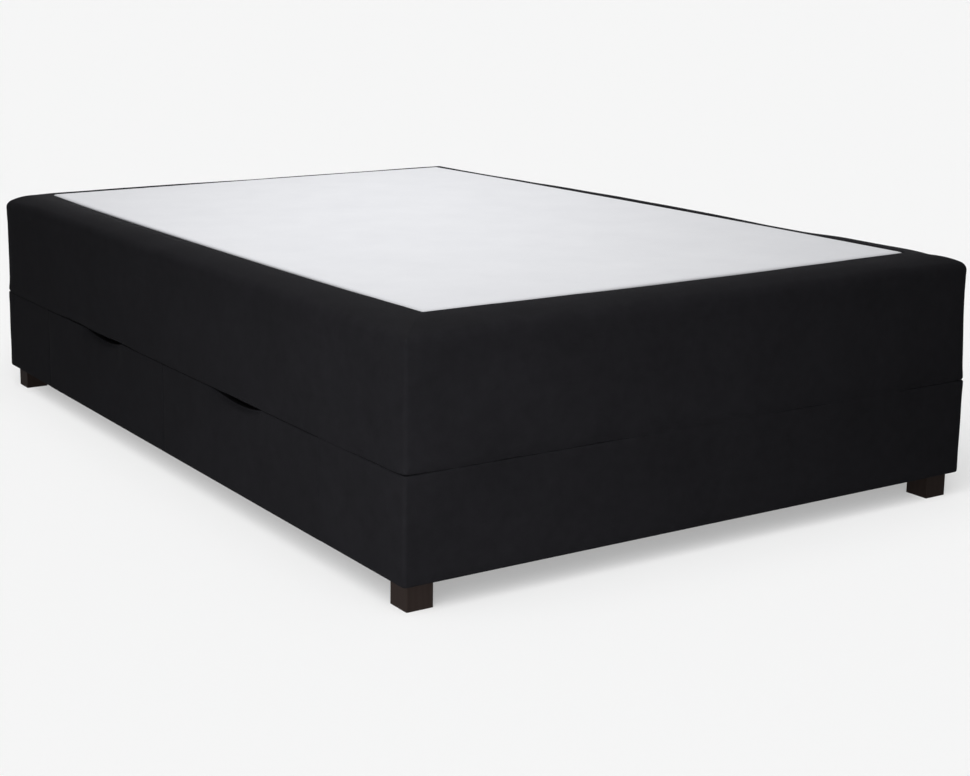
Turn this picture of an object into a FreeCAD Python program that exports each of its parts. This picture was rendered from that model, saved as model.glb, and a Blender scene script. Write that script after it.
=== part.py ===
import FreeCAD, Part
import Sketcher

import math
import os
import re

# Storage box spring bed base for one 140 x 200 cm mattress: an upholstered upper
# section with springs, standing on an upholstered storage base with two drawers.
#
# Millimetres. X runs across the bed, Y along it from the foot end to the head end,
# and Z is up. The origin is on the floor under the middle of the bed. The drawers
# open towards -X; drawer 1 is the one at the foot end (-Y), drawer 2 at the head end.

Vector = FreeCAD.Vector

SIZES = {
    # the whole bed
    "bed_width": 1400,
    "bed_length": 2000,
    "foot_height": 52,
    "base_height": 203,
    "upper_height": 265,
    # upholstery: wadding with cloth over it, and cloth alone where it is turned over an edge
    "padding": 10,
    "wrap": 3,
    "turn_in": 40,
    "cover_corner": 22,
    "base_edge": 9,
    "dust_cloth": 1.5,
    "soft_gap": 0.3,
    # crowned border of the upper section
    "border": 98,
    "crown_drop": 24,
    "crown_corner": 6,
    "lip_round": 12,
    "lip_set": 1,
    "waist_set": 3.5,
    "upper_edge": 10,
    "panel_bow_long": 14,
    "panel_bow_short": 6,
    # block feet and their bolts
    "foot_size": 56,
    "foot_inset": 18,
    "foot_chamfer": 1.5,
    "bolt_radius": 4,
    "bolt_play": 0.25,
    "bolt_in_foot": 34,
    "head_radius": 7.5,
    "head_height": 5.3,
    "block_size": 80,
    "block_height": 36,
    # boards of the base
    "board": 18,
    "cleat": 30,
    "rail_width": 70,
    "finger_room": 44,
    "back_play": 22,
    "dowel_radius": 4,
    "dowel_play": 0.1,
    "dowel_depth": 20,
    "dowel_place": 430,
    # drawers
    "fixed_panel": 300,
    "front_gap": 2.5,
    "front_top_gap": 3,
    "front_edge": 6,
    "front_round": 5,
    "hem": 2,
    "hem_width": 14,
    "front_play": 2,
    "finger_width": 330,
    "finger_depth": 29,
    "drawer_back": 32,
    "drawer_board": 15,
    "drawer_height": 140,
    "drawer_lift": 4,
    "groove_up": 10,
    "groove_depth": 5,
    "drawer_bottom": 4,
    "groove_play": 0.2,
    # telescopic runners
    "runner_back": 31,
    "runner_height": 45,
    "runner_width": 12.7,
    "runner_gauge": 1.2,
    "runner_set": 5,
    "runner_up": 62,
    "runner_lip": 1.4,
    "fixed_flange": 10.5,
    "middle_web": 2.6,
    "middle_flange": 8.6,
    "inner_flange": 7.5,
    "ball_radius": 1.5,
    "ball_play": 0.1,
    "cage_length": 240,
    "cage_gauge": 0.4,
    "cage_web": 0.5,
    "cage_flange": 6.8,
    "cage_end": 20,
    # timber frame of the upper section
    "rail_height": 110,
    "slat_width": 80,
    "ledge": 22,
    # springs and foam
    "comfort_height": 28,
    "foam_ring_width": 90,
    "felt": 4,
    "pocket_bulge": 4,
    # one overrun for every cut
    "over": 5,
}

SLAT_COUNT = 10
BALL_COUNT = 3
POCKET_ROW_COUNT = 16
POCKET_COLUMN_COUNT = 24
ROUND_STEP_COUNT = 3
BALL_SIDE_COUNT = 8
BALL_RING_COUNT = 4

doc = FreeCAD.newDocument("storage_box_spring_bed")
sheet = doc.addObject("Spreadsheet::Sheet", "Sizes")
for row, (alias, size) in enumerate(SIZES.items(), start=1):
    sheet.set(f"A{row}", alias)
    sheet.set(f"B{row}", str(size))
    sheet.setAlias(f"B{row}", alias)
doc.recompute()

# Planes that many pieces share, written in the words of the sheet.

base_top = "(foot_height + base_height)"
bed_top = "(foot_height + base_height + upper_height)"
board_x = "(bed_width / 2 - padding)"
board_y = "(bed_length / 2 - padding)"
inner_x = "(bed_width / 2 - padding - board)"
inner_y = "(bed_length / 2 - padding - board)"
base_low = "(foot_height + wrap)"
base_high = "(foot_height + base_height - wrap)"
upper_low = "(foot_height + base_height + wrap)"
slat_top = f"({upper_low} + rail_height)"
divider_front = f"({inner_x} - hem - front_play)"
turn_x = "(bed_width / 2 - turn_in)"
turn_y = "(bed_length / 2 - turn_in)"
drawer_pitch = "(bed_length / 2 - fixed_panel)"
bay_end = f"({drawer_pitch} + front_gap / 2)"
foot_x = "(bed_width / 2 - foot_inset - foot_size / 2)"
foot_y = "(bed_length / 2 - foot_inset - foot_size / 2)"
top_rail_x = f"({divider_front} - finger_room)"
drawer_low = f"({base_low} + board + drawer_lift)"
bay_half = f"({drawer_pitch} / 2 - board / 2)"
box_half = f"({bay_half} - runner_width)"
drawer_end = "(-drawer_back)"
runner_front = f"({divider_front} - runner_set)"
runner_length = f"({runner_front} - drawer_back - runner_back)"
runner_mid = f"({runner_front} - {runner_length} / 2)"
runner_z = f"({drawer_low} + runner_up)"
core_x = f"({board_x} - foam_ring_width)"
core_y = f"({board_y} - foam_ring_width)"

WORD = re.compile(r"\b[a-z][a-z_]+\b(?!\()")


def bound(words):
    """Turn a sum of sheet words, such as 'bed_width / 2 - board', into an expression."""
    return WORD.sub(lambda found: "Sizes." + found.group(), words)


reader = doc.addObject("App::FeaturePython", "Reader")


def mm(words):
    """The value of a sum of sheet words, for the pieces that are shaped in code."""
    return float(reader.evalExpression(bound(words)))


NODES = []


def node(piece, name):
    """Make a finished piece a sub-part with its own name."""
    piece.Label = name
    NODES.append(piece)
    return piece


# Ways of making a piece


def block(name, x, y, z):
    """A box between two planes each way."""
    box = doc.addObject("Part::Box", name)
    for axis, side, (low, high) in (("x", "Length", x), ("y", "Width", y), ("z", "Height", z)):
        box.setExpression(side, bound(f"({high}) - ({low})"))
        box.setExpression(f"Placement.Base.{axis}", bound(low))
    return box


def rod(name, radius, place, low, high):
    """An upright round bar between two heights."""
    bar = doc.addObject("Part::Cylinder", name)
    bar.setExpression("Radius", bound(radius))
    bar.setExpression("Height", bound(f"({high}) - ({low})"))
    for axis, where in zip("xyz", (*place, low)):
        bar.setExpression(f"Placement.Base.{axis}", bound(where))
    return bar


def cut(name, base, tools):
    """One piece less one or more others."""
    result = doc.addObject("Part::Cut", name)
    result.Base = base
    if len(tools) == 1:
        result.Tool = tools[0]
    else:
        joined = doc.addObject("Part::MultiFuse", name + "_tools")
        joined.Shapes = tools
        result.Tool = joined
    return result


def fuse(name, pieces):
    joined = doc.addObject("Part::MultiFuse", name)
    joined.Shapes = pieces
    return joined


def group(name, pieces):
    """Several separate solids that share one node."""
    together = doc.addObject("Part::Compound", name)
    together.Links = pieces
    return together


def shaped(name, shape):
    """A piece whose solid was worked out in code."""
    piece = doc.addObject("Part::Feature", name)
    piece.Shape = shape
    return piece


def origin_plane(body, role):
    return next(plane for plane in body.Origin.OriginFeatures if plane.Role == role)


def outline(body, name, role, points):
    """A closed sketch of straight lines, each corner tied to sums of sheet words."""
    sketch = body.newObject("Sketcher::SketchObject", name)
    sketch.AttachmentSupport = (origin_plane(body, role), [""])
    sketch.MapMode = "FlatFace"
    places = [Vector(mm(across), mm(up), 0) for across, up in points]
    for start, end in zip(places, places[1:] + places[:1]):
        sketch.addGeometry(Part.LineSegment(start, end), False)
    count = len(points)
    for index in range(count):
        sketch.addConstraint(Sketcher.Constraint("Coincident", index, 2, (index + 1) % count, 1))
    for index, words in enumerate(points):
        for kind, axis_line, text, value in (
            ("DistanceX", -2, words[0], places[index].x),
            ("DistanceY", -1, words[1], places[index].y),
        ):
            if text == "0":
                sketch.addConstraint(Sketcher.Constraint("PointOnObject", index, 1, axis_line))
            else:
                tie = sketch.addConstraint(Sketcher.Constraint(kind, -1, 1, index, 1, value))
                sketch.setExpression(f"Constraints[{tie}]", bound(text))
    return sketch


def mirrored_outline(points):
    """Points of the upper half of an outline, followed by the same points below the axis."""
    return points + [(across, f"-({up})") for across, up in reversed(points)]


# Flat outlines for the soft pieces, worked out as arcs and lines


def rounded(half_x, half_y, corner, height):
    """A rectangle with rounded corners, lying level."""
    slack = corner * (1 - math.sqrt(0.5))
    arcs = []
    for sx, sy in ((1, 1), (-1, 1), (-1, -1), (1, -1)):
        beside = Vector(sx * half_x, sy * (half_y - corner), height)
        middle = Vector(sx * (half_x - slack), sy * (half_y - slack), height)
        ahead = Vector(sx * (half_x - corner), sy * half_y, height)
        ends = (beside, ahead) if sx * sy > 0 else (ahead, beside)
        arcs.append((ends[0], middle, ends[1]))
    edges = []
    for arc, following in zip(arcs, arcs[1:] + arcs[:1]):
        edges.append(Part.Arc(*arc).toShape())
        edges.append(Part.LineSegment(arc[2], following[0]).toShape())
    return Part.Wire(edges)


def stack(levels):
    """A solid through level rounded rectangles, each given by inset, corner and height."""
    half_x = mm("bed_width / 2")
    half_y = mm("bed_length / 2")
    wires = [rounded(half_x - inset, half_y - inset, corner, height) for inset, corner, height in levels]
    return Part.makeLoft(wires, True, True)


def bowed_slab(inset, low, high):
    """An upright slab whose four sides bow outwards, like the sewn top panel."""
    half_x = mm("bed_width / 2") - inset
    half_y = mm("bed_length / 2") - inset
    reach_x = half_x + mm("panel_bow_long")
    reach_y = half_y + mm("panel_bow_short")
    corners = [Vector(sx * half_x, sy * half_y, low) for sx, sy in ((1, -1), (1, 1), (-1, 1), (-1, -1))]
    middles = [Vector(reach_x, 0, low), Vector(0, reach_y, low), Vector(-reach_x, 0, low),
               Vector(0, -reach_y, low)]
    arcs = [
        Part.Arc(corner, middle, following).toShape()
        for corner, middle, following in zip(corners, middles, corners[1:] + corners[:1])
    ]
    return Part.Face(Part.Wire(arcs)).extrude(Vector(0, 0, high - low))


def box_shape(x, y, z):
    """A box between two planes each way, for the pieces that are shaped in code."""
    low = Vector(mm(x[0]), mm(y[0]), mm(z[0]))
    high = Vector(mm(x[1]), mm(y[1]), mm(z[1]))
    size = high - low
    return Part.makeBox(size.x, size.y, size.z, low)


def quarter_round(radius):
    """Inset and rise at even turns round a quarter circle, from its edge on to its side."""
    turns = [math.pi / 2 * step / ROUND_STEP_COUNT for step in range(ROUND_STEP_COUNT + 1)]
    return [(radius * (1 - math.sin(turn)), radius * (1 - math.cos(turn))) for turn in turns]


# Feet: square blocks, each held by a hexagon bolt down through a timber corner block

CORNERS = [("foot_end_left", "-", "-"), ("foot_end_right", "", "-"),
           ("head_end_left", "-", ""), ("head_end_right", "", "")]

foot_bolts = []
foot_blocks = []
for place, sign_x, sign_y in CORNERS:
    centre = (f"{sign_x}{foot_x}", f"{sign_y}{foot_y}")
    body = doc.addObject("PartDesign::Body", f"foot_{place}")
    half = "foot_size / 2"
    square = outline(body, f"square_{place}", "XY_Plane",
                     [(f"-{half}", f"-{half}"), (half, f"-{half}"), (half, half), (f"-{half}", half)])
    pad = body.newObject("PartDesign::Pad", f"block_{place}")
    pad.Profile = square
    pad.setExpression("Length", bound("foot_height"))
    doc.recompute()
    uprights = [
        f"Edge{index}" for index, edge in enumerate(pad.Shape.Edges, start=1)
        if abs(edge.tangentAt(edge.FirstParameter).z) > math.sqrt(0.5)
    ]
    soften = body.newObject("PartDesign::Chamfer", f"edges_{place}")
    soften.Base = (pad, uprights)
    soften.setExpression("Size", bound("foot_chamfer"))
    bore = body.newObject("PartDesign::SubtractiveCylinder", f"bore_{place}")
    bore.setExpression("Radius", bound("bolt_radius + bolt_play"))
    bore.setExpression("Height", bound("bolt_in_foot + over"))
    bore.AttachmentSupport = (origin_plane(body, "XY_Plane"), [""])
    bore.MapMode = "FlatFace"
    bore.setExpression("AttachmentOffset.Base.z", bound("foot_height - bolt_in_foot"))
    for axis, where in zip("xy", centre):
        body.setExpression(f"Placement.Base.{axis}", bound(where))
    node(body, f"foot_{place}")

    block_top = f"({base_low} + block_height)"
    shank = rod(f"shank_{place}", "bolt_radius", centre, "foot_height - bolt_in_foot", block_top)
    head = doc.addObject("Part::Prism", f"head_{place}")
    head.Polygon = 6
    head.setExpression("Circumradius", bound("head_radius"))
    head.setExpression("Height", bound("head_height"))
    for axis, where in zip("xyz", (*centre, block_top)):
        head.setExpression(f"Placement.Base.{axis}", bound(where))
    foot_bolts.append(fuse(f"bolt_{place}", [shank, head]))

    timber_x = (f"-{inner_x}", f"block_size - {inner_x}") if sign_x else (f"{inner_x} - block_size", inner_x)
    timber_y = (f"-{inner_y}", f"block_size - {inner_y}") if sign_y else (f"{inner_y} - block_size", inner_y)
    timber = block(f"timber_{place}", timber_x, timber_y, (base_low, block_top))
    hole = rod(f"timber_hole_{place}", "bolt_radius + bolt_play", centre,
               f"{base_low} - over", f"{block_top} + over")
    foot_blocks.append(cut(f"corner_block_{place}", timber, [hole]))

node(group("bolts", foot_bolts), "foot_bolts")
node(group("blocks", foot_blocks), "foot_blocks")

# Locating dowels between the end boards of the base and the end rails above them


def dowel_rods(name, end, extra, low, high):
    """Both upright rods of one bed end; end is '-' at the foot end and '' at the head end."""
    return [
        rod(f"{name}_{index}", f"dowel_radius + {extra}",
            (f"{side}dowel_place", f"{end}({board_y} - board / 2)"), low, high)
        for index, side in enumerate(("-", ""))
    ]


DOWEL_LOW = f"{base_high} - dowel_depth"
DOWEL_HIGH = f"{upper_low} + dowel_depth"
dowels = dowel_rods("dowel_foot_end", "-", "0", DOWEL_LOW, DOWEL_HIGH)
dowels += dowel_rods("dowel_head_end", "", "0", DOWEL_LOW, DOWEL_HIGH)
node(group("dowels", dowels), "locating_dowels")

# Boards of the storage base

for end_name, end in (("foot_end", "-"), ("head_end", "")):
    span_y = (f"-{board_y}", f"-{inner_y}") if end else (inner_y, board_y)
    board = block(f"plain_{end_name}_board", (f"-{board_x}", board_x), span_y, (base_low, base_high))
    holes = dowel_rods(f"{end_name}_board_hole", end, "dowel_play", DOWEL_LOW, f"{base_high} + over")
    node(cut(f"cut_{end_name}_board", board, holes), f"base_{end_name}_board")

node(block("side", (inner_x, board_x), (f"-{inner_y}", inner_y), (base_low, base_high)), "base_side_board")

for divider_name, centre in (("foot_end_divider", f"(-{drawer_pitch})"), ("centre_divider", "0"),
                             ("head_end_divider", drawer_pitch)):
    divider = block(divider_name, (f"-{divider_front}", inner_x),
                    (f"{centre} - board / 2", f"{centre} + board / 2"), (base_low, base_high))
    node(divider, f"base_{divider_name}")

node(block("short_foot_end", (f"-{board_x}", f"-{inner_x}"), (f"-{inner_y}", f"-{bay_end} - wrap"),
           (base_low, base_high)), "base_foot_end_short_board")
node(block("short_head_end", (f"-{board_x}", f"-{inner_x}"), (f"{bay_end} + wrap", inner_y),
           (base_low, base_high)), "base_head_end_short_board")

outer_face = f"({drawer_pitch} + board / 2)"
cleat_x = (f"-{inner_x}", f"cleat - {inner_x}")
cleats = [
    block("cleat_foot_end", cleat_x, (f"-{outer_face} - cleat", f"-{outer_face}"), (base_low, base_high)),
    block("cleat_head_end", cleat_x, (outer_face, f"{outer_face} + cleat"), (base_low, base_high)),
]
node(group("cleats", cleats), "base_cleats")

bay_back_x = (f"{drawer_end} + back_play", f"{drawer_end} + back_play + board")
BAYS = [("1", f"(-{drawer_pitch} / 2)"), ("2", f"({drawer_pitch} / 2)")]
top_rails = []
bottom_rails = []
bay_backs = []
for number, middle in BAYS:
    bay_y = (f"{middle} - {bay_half}", f"{middle} + {bay_half}")
    top_rails.append(block(f"top_rail_{number}", (f"-{top_rail_x}", f"rail_width - {top_rail_x}"), bay_y,
                           (f"{base_high} - board", base_high)))
    bottom_rails.append(block(f"bottom_rail_{number}", (f"-{turn_x}", f"rail_width - {turn_x}"), bay_y,
                              (base_low, f"{base_low} + board")))
    bay_backs.append(block(f"bay_back_{number}", bay_back_x, bay_y, (base_low, base_high)))
node(group("front_top_rails", top_rails), "base_top_rails")
node(group("front_bottom_rails", bottom_rails), "base_bottom_rails")
node(group("backs", bay_backs), "base_bay_backs")

# Upholstered cover of the base: one padded skin round three sides and the two short
# fixed panels beside the drawers, with its cloth turned over and under the boards


def base_cover_shape():
    low = mm("foot_height")
    high = mm(base_top)
    corner = mm("cover_corner")
    bottom_edge = quarter_round(mm("base_edge"))
    top_edge = reversed(quarter_round(mm("upper_edge")))
    levels = [(inset, corner - inset, low + rise) for inset, rise in bottom_edge]
    levels += [(inset, corner - inset, high - rise) for inset, rise in top_edge]
    skin = stack(levels)
    boards = box_shape((f"-{board_x}", board_x), (f"-{board_y}", board_y), (base_low, base_high))
    window = box_shape((f"-{turn_x}", turn_x), (f"-{turn_y}", turn_y), ("0", f"{bed_top}"))
    bay = box_shape(("-bed_width", f"-{turn_x}"), (f"-{bay_end}", bay_end), ("0", f"{bed_top}"))
    skin = skin.cut([boards, window, bay])
    for y in ((f"-{bay_end} - wrap", f"-{bay_end}"), (bay_end, f"{bay_end} + wrap")):
        skin = skin.fuse(box_shape((f"-{board_x}", f"-{inner_x}"), y, (base_low, base_high)))
    return skin.removeSplitter()


base_cover = shaped("base_skin", base_cover_shape())
cover_holes = dowel_rods("base_cover_hole_foot_end", "-", "dowel_play", DOWEL_LOW, DOWEL_HIGH)
cover_holes += dowel_rods("base_cover_hole_head_end", "", "dowel_play", DOWEL_LOW, DOWEL_HIGH)
node(cut("base_skin_holed", base_cover, cover_holes), "base_cover")

cloth_x = f"({turn_x} - soft_gap)"
cloth_y = f"({turn_y} - soft_gap)"
sheet_under = block("plain_base_cloth", (f"-{cloth_x}", cloth_x), (f"-{cloth_y}", cloth_y),
                    (f"{base_low} - dust_cloth", base_low))
cloth_notches = [
    block(f"cloth_notch_{place}",
          (f"{sign_x}{foot_x} - foot_size / 2", f"{sign_x}{foot_x} + foot_size / 2"),
          (f"{sign_y}{foot_y} - foot_size / 2", f"{sign_y}{foot_y} + foot_size / 2"),
          ("foot_height", f"{base_low} + over"))
    for place, sign_x, sign_y in CORNERS
]
node(cut("base_cloth", sheet_under, cloth_notches), "base_dust_cloth")

# Telescopic runners: three channels inside each other, with two rows of balls between
# each pair. A section is drawn across the runner from the divider's face (0) to the
# drawer's side (runner_width), half of it above the runner's own axis.

fixed_rise = "(runner_height / 2)"
middle_rise = f"({fixed_rise} - runner_gauge - 2 * (ball_radius + ball_play))"
inner_rise = f"({middle_rise} - runner_gauge - 2 * (ball_radius + ball_play))"
outer_row = f"({middle_rise} + ball_radius + ball_play)"
inner_row = f"({inner_rise} + ball_radius + ball_play)"
outer_ball_y = "(runner_gauge + cage_flange / 2 + cage_web)"
inner_ball_y = "(runner_width - inner_flange / 2 - runner_gauge / 2)"
middle_back = "(middle_web + runner_gauge)"
middle_tip = "(middle_web + middle_flange)"
inner_tip = "(runner_width - inner_flange)"

FIXED_SECTION = mirrored_outline([
    ("0", fixed_rise),
    ("fixed_flange", fixed_rise),
    ("fixed_flange", f"{fixed_rise} - runner_gauge - runner_lip"),
    ("fixed_flange - runner_gauge", f"{fixed_rise} - runner_gauge - runner_lip"),
    ("fixed_flange - runner_gauge", f"{fixed_rise} - runner_gauge"),
    ("runner_gauge", f"{fixed_rise} - runner_gauge"),
])
MIDDLE_SECTION = mirrored_outline([
    ("middle_web", middle_rise),
    (middle_tip, middle_rise),
    (middle_tip, f"{middle_rise} - runner_gauge"),
    (middle_back, f"{middle_rise} - runner_gauge"),
])
INNER_SECTION = [
    (inner_tip, inner_rise),
    ("runner_width", inner_rise),
    ("runner_width", f"-{inner_rise}"),
    (inner_tip, f"-{inner_rise}"),
    (inner_tip, f"runner_gauge - {inner_rise}"),
    ("runner_width - runner_gauge", f"runner_gauge - {inner_rise}"),
    ("runner_width - runner_gauge", f"{inner_rise} - runner_gauge"),
    (inner_tip, f"{inner_rise} - runner_gauge"),
]


def cage_section(web, row):
    """A thin channel whose flanges lie in the plane of the ball rows."""
    return mirrored_outline([
        (web, f"{row} + cage_gauge / 2"),
        (f"{web} + cage_flange", f"{row} + cage_gauge / 2"),
        (f"{web} + cage_flange", f"{row} - cage_gauge / 2"),
        (f"{web} + cage_gauge", f"{row} - cage_gauge / 2"),
    ])


OUTER_CAGE_WEB = "(runner_gauge + cage_web)"
INNER_CAGE_WEB = f"({middle_back} + cage_web)"


def place_runner(piece, start, face, side):
    """Stand a runner piece in its bay: side is 1 on the right divider and -1 on the left."""
    half_turn = 0 if side > 0 else 180
    piece.Placement = FreeCAD.Placement(Vector(), FreeCAD.Rotation(Vector(1, 0, 0), half_turn))
    for axis, where in zip("xyz", (start, face, runner_z)):
        piece.setExpression(f"Placement.Base.{axis}", bound(where))
    return piece


def channel(name, section, length):
    """A straight length of one runner section."""
    body = doc.addObject("PartDesign::Body", name)
    sketch = outline(body, name + "_section", "YZ_Plane", section)
    pad = body.newObject("PartDesign::Pad", name + "_pad")
    pad.Profile = sketch
    pad.setExpression("Length", bound(length))
    return body


def ball_places():
    """Distances from the cage's front end to each ball of a row."""
    return [
        f"(cage_end + (cage_length - 2 * cage_end) * {index} / {BALL_COUNT - 1})"
        for index in range(BALL_COUNT)
    ]


def ball_shape():
    """A ball with few faces, lofted through level rings that lie on its sphere."""
    rings = []
    for ring in range(BALL_RING_COUNT):
        lift = math.pi * ((2 * ring + 1) / (2 * BALL_RING_COUNT) - 1 / 2)
        reach = mm("ball_radius") * math.cos(lift)
        height = mm("ball_radius") * math.sin(lift)
        turns = [2 * math.pi * side / BALL_SIDE_COUNT for side in range(BALL_SIDE_COUNT + 1)]
        rings.append(Part.makePolygon(
            [Vector(reach * math.cos(turn), reach * math.sin(turn), height) for turn in turns]))
    return Part.makeLoft(rings, True, True)


def caged_balls(name, web, row, ball_y, start, face, side):
    """One ball cage with its two rows of balls, as separate solids."""
    cage = channel(name, cage_section(web, row), "cage_length")
    clear = "(ball_radius + ball_play)"
    pieces = []
    windows = []
    for index, along in enumerate(ball_places()):
        windows.append(block(f"{name}_window_{index}", (f"{along} - {clear}", f"{along} + {clear}"),
                             (f"{ball_y} - {clear}", f"{ball_y} + {clear}"),
                             ("-runner_height / 2", "runner_height / 2")))
        for level, sign in (("top", ""), ("low", "-")):
            ball = shaped(f"{name}_ball_{level}_{index}", ball_shape())
            for axis, where in zip("xyz", (along, ball_y, f"{sign}{row}")):
                ball.setExpression(f"Placement.Base.{axis}", bound(where))
            pieces.append(ball)
    pieces.append(cut(f"{name}_strip", cage, windows))
    return place_runner(group(f"{name}_set", pieces), start, face, side)


cage_start = f"(-{runner_mid} - cage_length / 2)"
for number, middle in BAYS:
    faces = [("right", f"({middle} - {bay_half})", 1), ("left", f"({middle} + {bay_half})", -1)]
    fixed = []
    middles = []
    outer_cages = []
    inner_cages = []
    for side_name, face, side in faces:
        tag = f"{number}_{side_name}"
        start = f"-{runner_front}"
        fixed_channel = channel(f"fixed_{tag}", FIXED_SECTION, runner_length)
        middle_channel = channel(f"middle_{tag}", MIDDLE_SECTION, runner_length)
        inner_channel = channel(f"inner_{tag}", INNER_SECTION, runner_length)
        fixed.append(place_runner(fixed_channel, start, face, side))
        middles.append(place_runner(middle_channel, start, face, side))
        node(place_runner(inner_channel, start, face, side), f"drawer_{number}_{side_name}_runner")
        outer_cages.append(caged_balls(f"outer_cage_{tag}", OUTER_CAGE_WEB, outer_row, outer_ball_y,
                                       cage_start, face, side))
        inner_cages.append(caged_balls(f"inner_cage_{tag}", INNER_CAGE_WEB, inner_row, inner_ball_y,
                                       cage_start, face, side))
    node(group(f"fixed_{number}", fixed), f"runner_{number}_fixed_members")
    node(group(f"middles_{number}", middles), f"runner_{number}_middle_members")
    node(group(f"outer_cages_{number}", outer_cages), f"runner_{number}_outer_cages")
    node(group(f"inner_cages_{number}", inner_cages), f"runner_{number}_inner_cages")

# Drawers: an open box behind an upholstered front with a shallow finger cut-out in
# its top edge. The cut-out is an arc of a large circle.

front_top = f"({base_top} - front_top_gap)"
front_half = f"({drawer_pitch} / 2 - front_gap / 2)"
finger_arc = "((finger_width * finger_width / 4 + finger_depth * finger_depth) / (2 * finger_depth))"
finger_centre = f"({front_top} - finger_depth + {finger_arc})"


def front_outline(inset, x, middle):
    """The front's outline with its finger cut-out, drawn in by inset, standing at x."""
    half = mm(front_half) - inset
    low = mm("foot_height") + inset
    high = mm(front_top) - inset
    arc = mm(finger_arc) + inset
    centre = mm(finger_centre)
    reach = math.sqrt(arc * arc - (centre - high) * (centre - high))
    at = mm(middle)
    corners = [Vector(x, at + reach, high), Vector(x, at + half, high), Vector(x, at + half, low),
               Vector(x, at - half, low), Vector(x, at - half, high), Vector(x, at - reach, high)]
    edges = [Part.LineSegment(start, end).toShape() for start, end in zip(corners, corners[1:])]
    edges.append(Part.Arc(corners[-1], Vector(x, at, centre - arc), corners[0]).toShape())
    return Part.Wire(edges)


def front_slab(inset, x_low, x_high, middle):
    """A plain slab of the front's outline, drawn in by inset, between two planes."""
    return Part.Face(front_outline(inset, x_low, middle)).extrude(Vector(x_high - x_low, 0, 0))


def front_cover_shape(board, middle):
    """Padded front with soft edges, hollow for its board and hemmed round the back."""
    face = -mm("bed_width / 2")
    back = mm(f"hem - {inner_x}")
    edge = [(inset, face + depth) for depth, inset in quarter_round(mm("front_round"))]
    wires = [front_outline(inset, x, middle) for inset, x in reversed(edge)]
    wires.append(front_outline(0, back, middle))
    pillow = Part.makeLoft(wires, True, True)
    window = front_slab(mm("front_edge + hem_width"), -mm(inner_x), back + mm("over"), middle)
    return pillow.cut([board, window])


for number, middle in BAYS:
    x_face = -mm(board_x)
    x_back = -mm(inner_x)
    board = front_slab(mm("front_edge"), x_face, x_back, middle)
    node(shaped(f"front_board_{number}", board), f"drawer_{number}_front_board")
    node(shaped(f"front_cover_{number}", front_cover_shape(board, middle)), f"drawer_{number}_front_cover")

    box_x = (f"-{inner_x}", drawer_end)
    box_z = (drawer_low, f"{drawer_low} + drawer_height")
    groove_z = (f"{drawer_low} + groove_up", f"{drawer_low} + groove_up + drawer_bottom + groove_play")
    inside = f"({box_half} - drawer_board)"
    for side_name, y, groove_y in (
        ("left", (f"{middle} + {inside}", f"{middle} + {box_half}"),
         (f"{middle} + {inside} - over", f"{middle} + {inside} + groove_depth + groove_play")),
        ("right", (f"{middle} - {box_half}", f"{middle} - {inside}"),
         (f"{middle} - {inside} - groove_depth - groove_play", f"{middle} - {inside} + over")),
    ):
        plain = block(f"plain_side_{number}_{side_name}", box_x, y, box_z)
        groove = block(f"groove_{number}_{side_name}", (f"-{inner_x} - over", f"{drawer_end} + over"),
                       groove_y, groove_z)
        node(cut(f"side_{number}_{side_name}", plain, [groove]), f"drawer_{number}_{side_name}_side")
    back = block(f"back_{number}", (f"{drawer_end} - drawer_board", drawer_end),
                 (f"{middle} - {inside}", f"{middle} + {inside}"), (groove_z[1], box_z[1]))
    node(back, f"drawer_{number}_back")
    bottom = block(f"bottom_{number}", box_x,
                   (f"{middle} - {inside} - groove_depth", f"{middle} + {inside} + groove_depth"),
                   (groove_z[0], f"{groove_z[0]} + drawer_bottom"))
    node(bottom, f"drawer_{number}_bottom")

# Timber frame of the upper section

for end_name, end in (("foot_end", "-"), ("head_end", "")):
    span_y = (f"-{board_y}", f"-{inner_y}") if end else (inner_y, board_y)
    rail = block(f"plain_{end_name}_rail", (f"-{board_x}", board_x), span_y, (upper_low, slat_top))
    holes = dowel_rods(f"{end_name}_rail_hole", end, "dowel_play", f"{upper_low} - over", DOWEL_HIGH)
    node(cut(f"cut_{end_name}_rail", rail, holes), f"upper_{end_name}_rail")
node(block("upper_left", (f"-{board_x}", f"-{inner_x}"), (f"-{inner_y}", inner_y), (upper_low, slat_top)),
     "upper_left_rail")
node(block("upper_right", (inner_x, board_x), (f"-{inner_y}", inner_y), (upper_low, slat_top)),
     "upper_right_rail")

slat_low = f"({slat_top} - board)"
node(block("beam", ("-board / 2", "board / 2"), (f"-{inner_y}", inner_y), (upper_low, slat_low)),
     "upper_centre_beam")
ledges = [
    block("ledge_left", (f"-{inner_x}", f"ledge - {inner_x}"), (f"-{inner_y}", inner_y),
          (f"{slat_low} - ledge", slat_low)),
    block("ledge_right", (f"{inner_x} - ledge", inner_x), (f"-{inner_y}", inner_y),
          (f"{slat_low} - ledge", slat_low)),
]
node(group("ledges", ledges), "upper_slat_ledges")

slats = []
for index in range(SLAT_COUNT):
    start = f"(slat_width / 2 - {inner_y} + (2 * {inner_y} - 2 * slat_width) * {index} / {SLAT_COUNT - 1})"
    slats.append(block(f"slat_{index}", (f"-{inner_x}", inner_x), (start, f"{start} + slat_width"),
                       (slat_low, slat_top)))
node(group("slats", slats), "upper_slats")

# Springs and foam. The pocket springs are glued into one core, whose four sides show
# the round pockets; the edge foam rings it and carries the crowned border.

foam_top = f"({bed_top} - padding)"
felt_top = f"({foam_top} - comfort_height)"
spring_top = f"({felt_top} - felt)"


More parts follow.
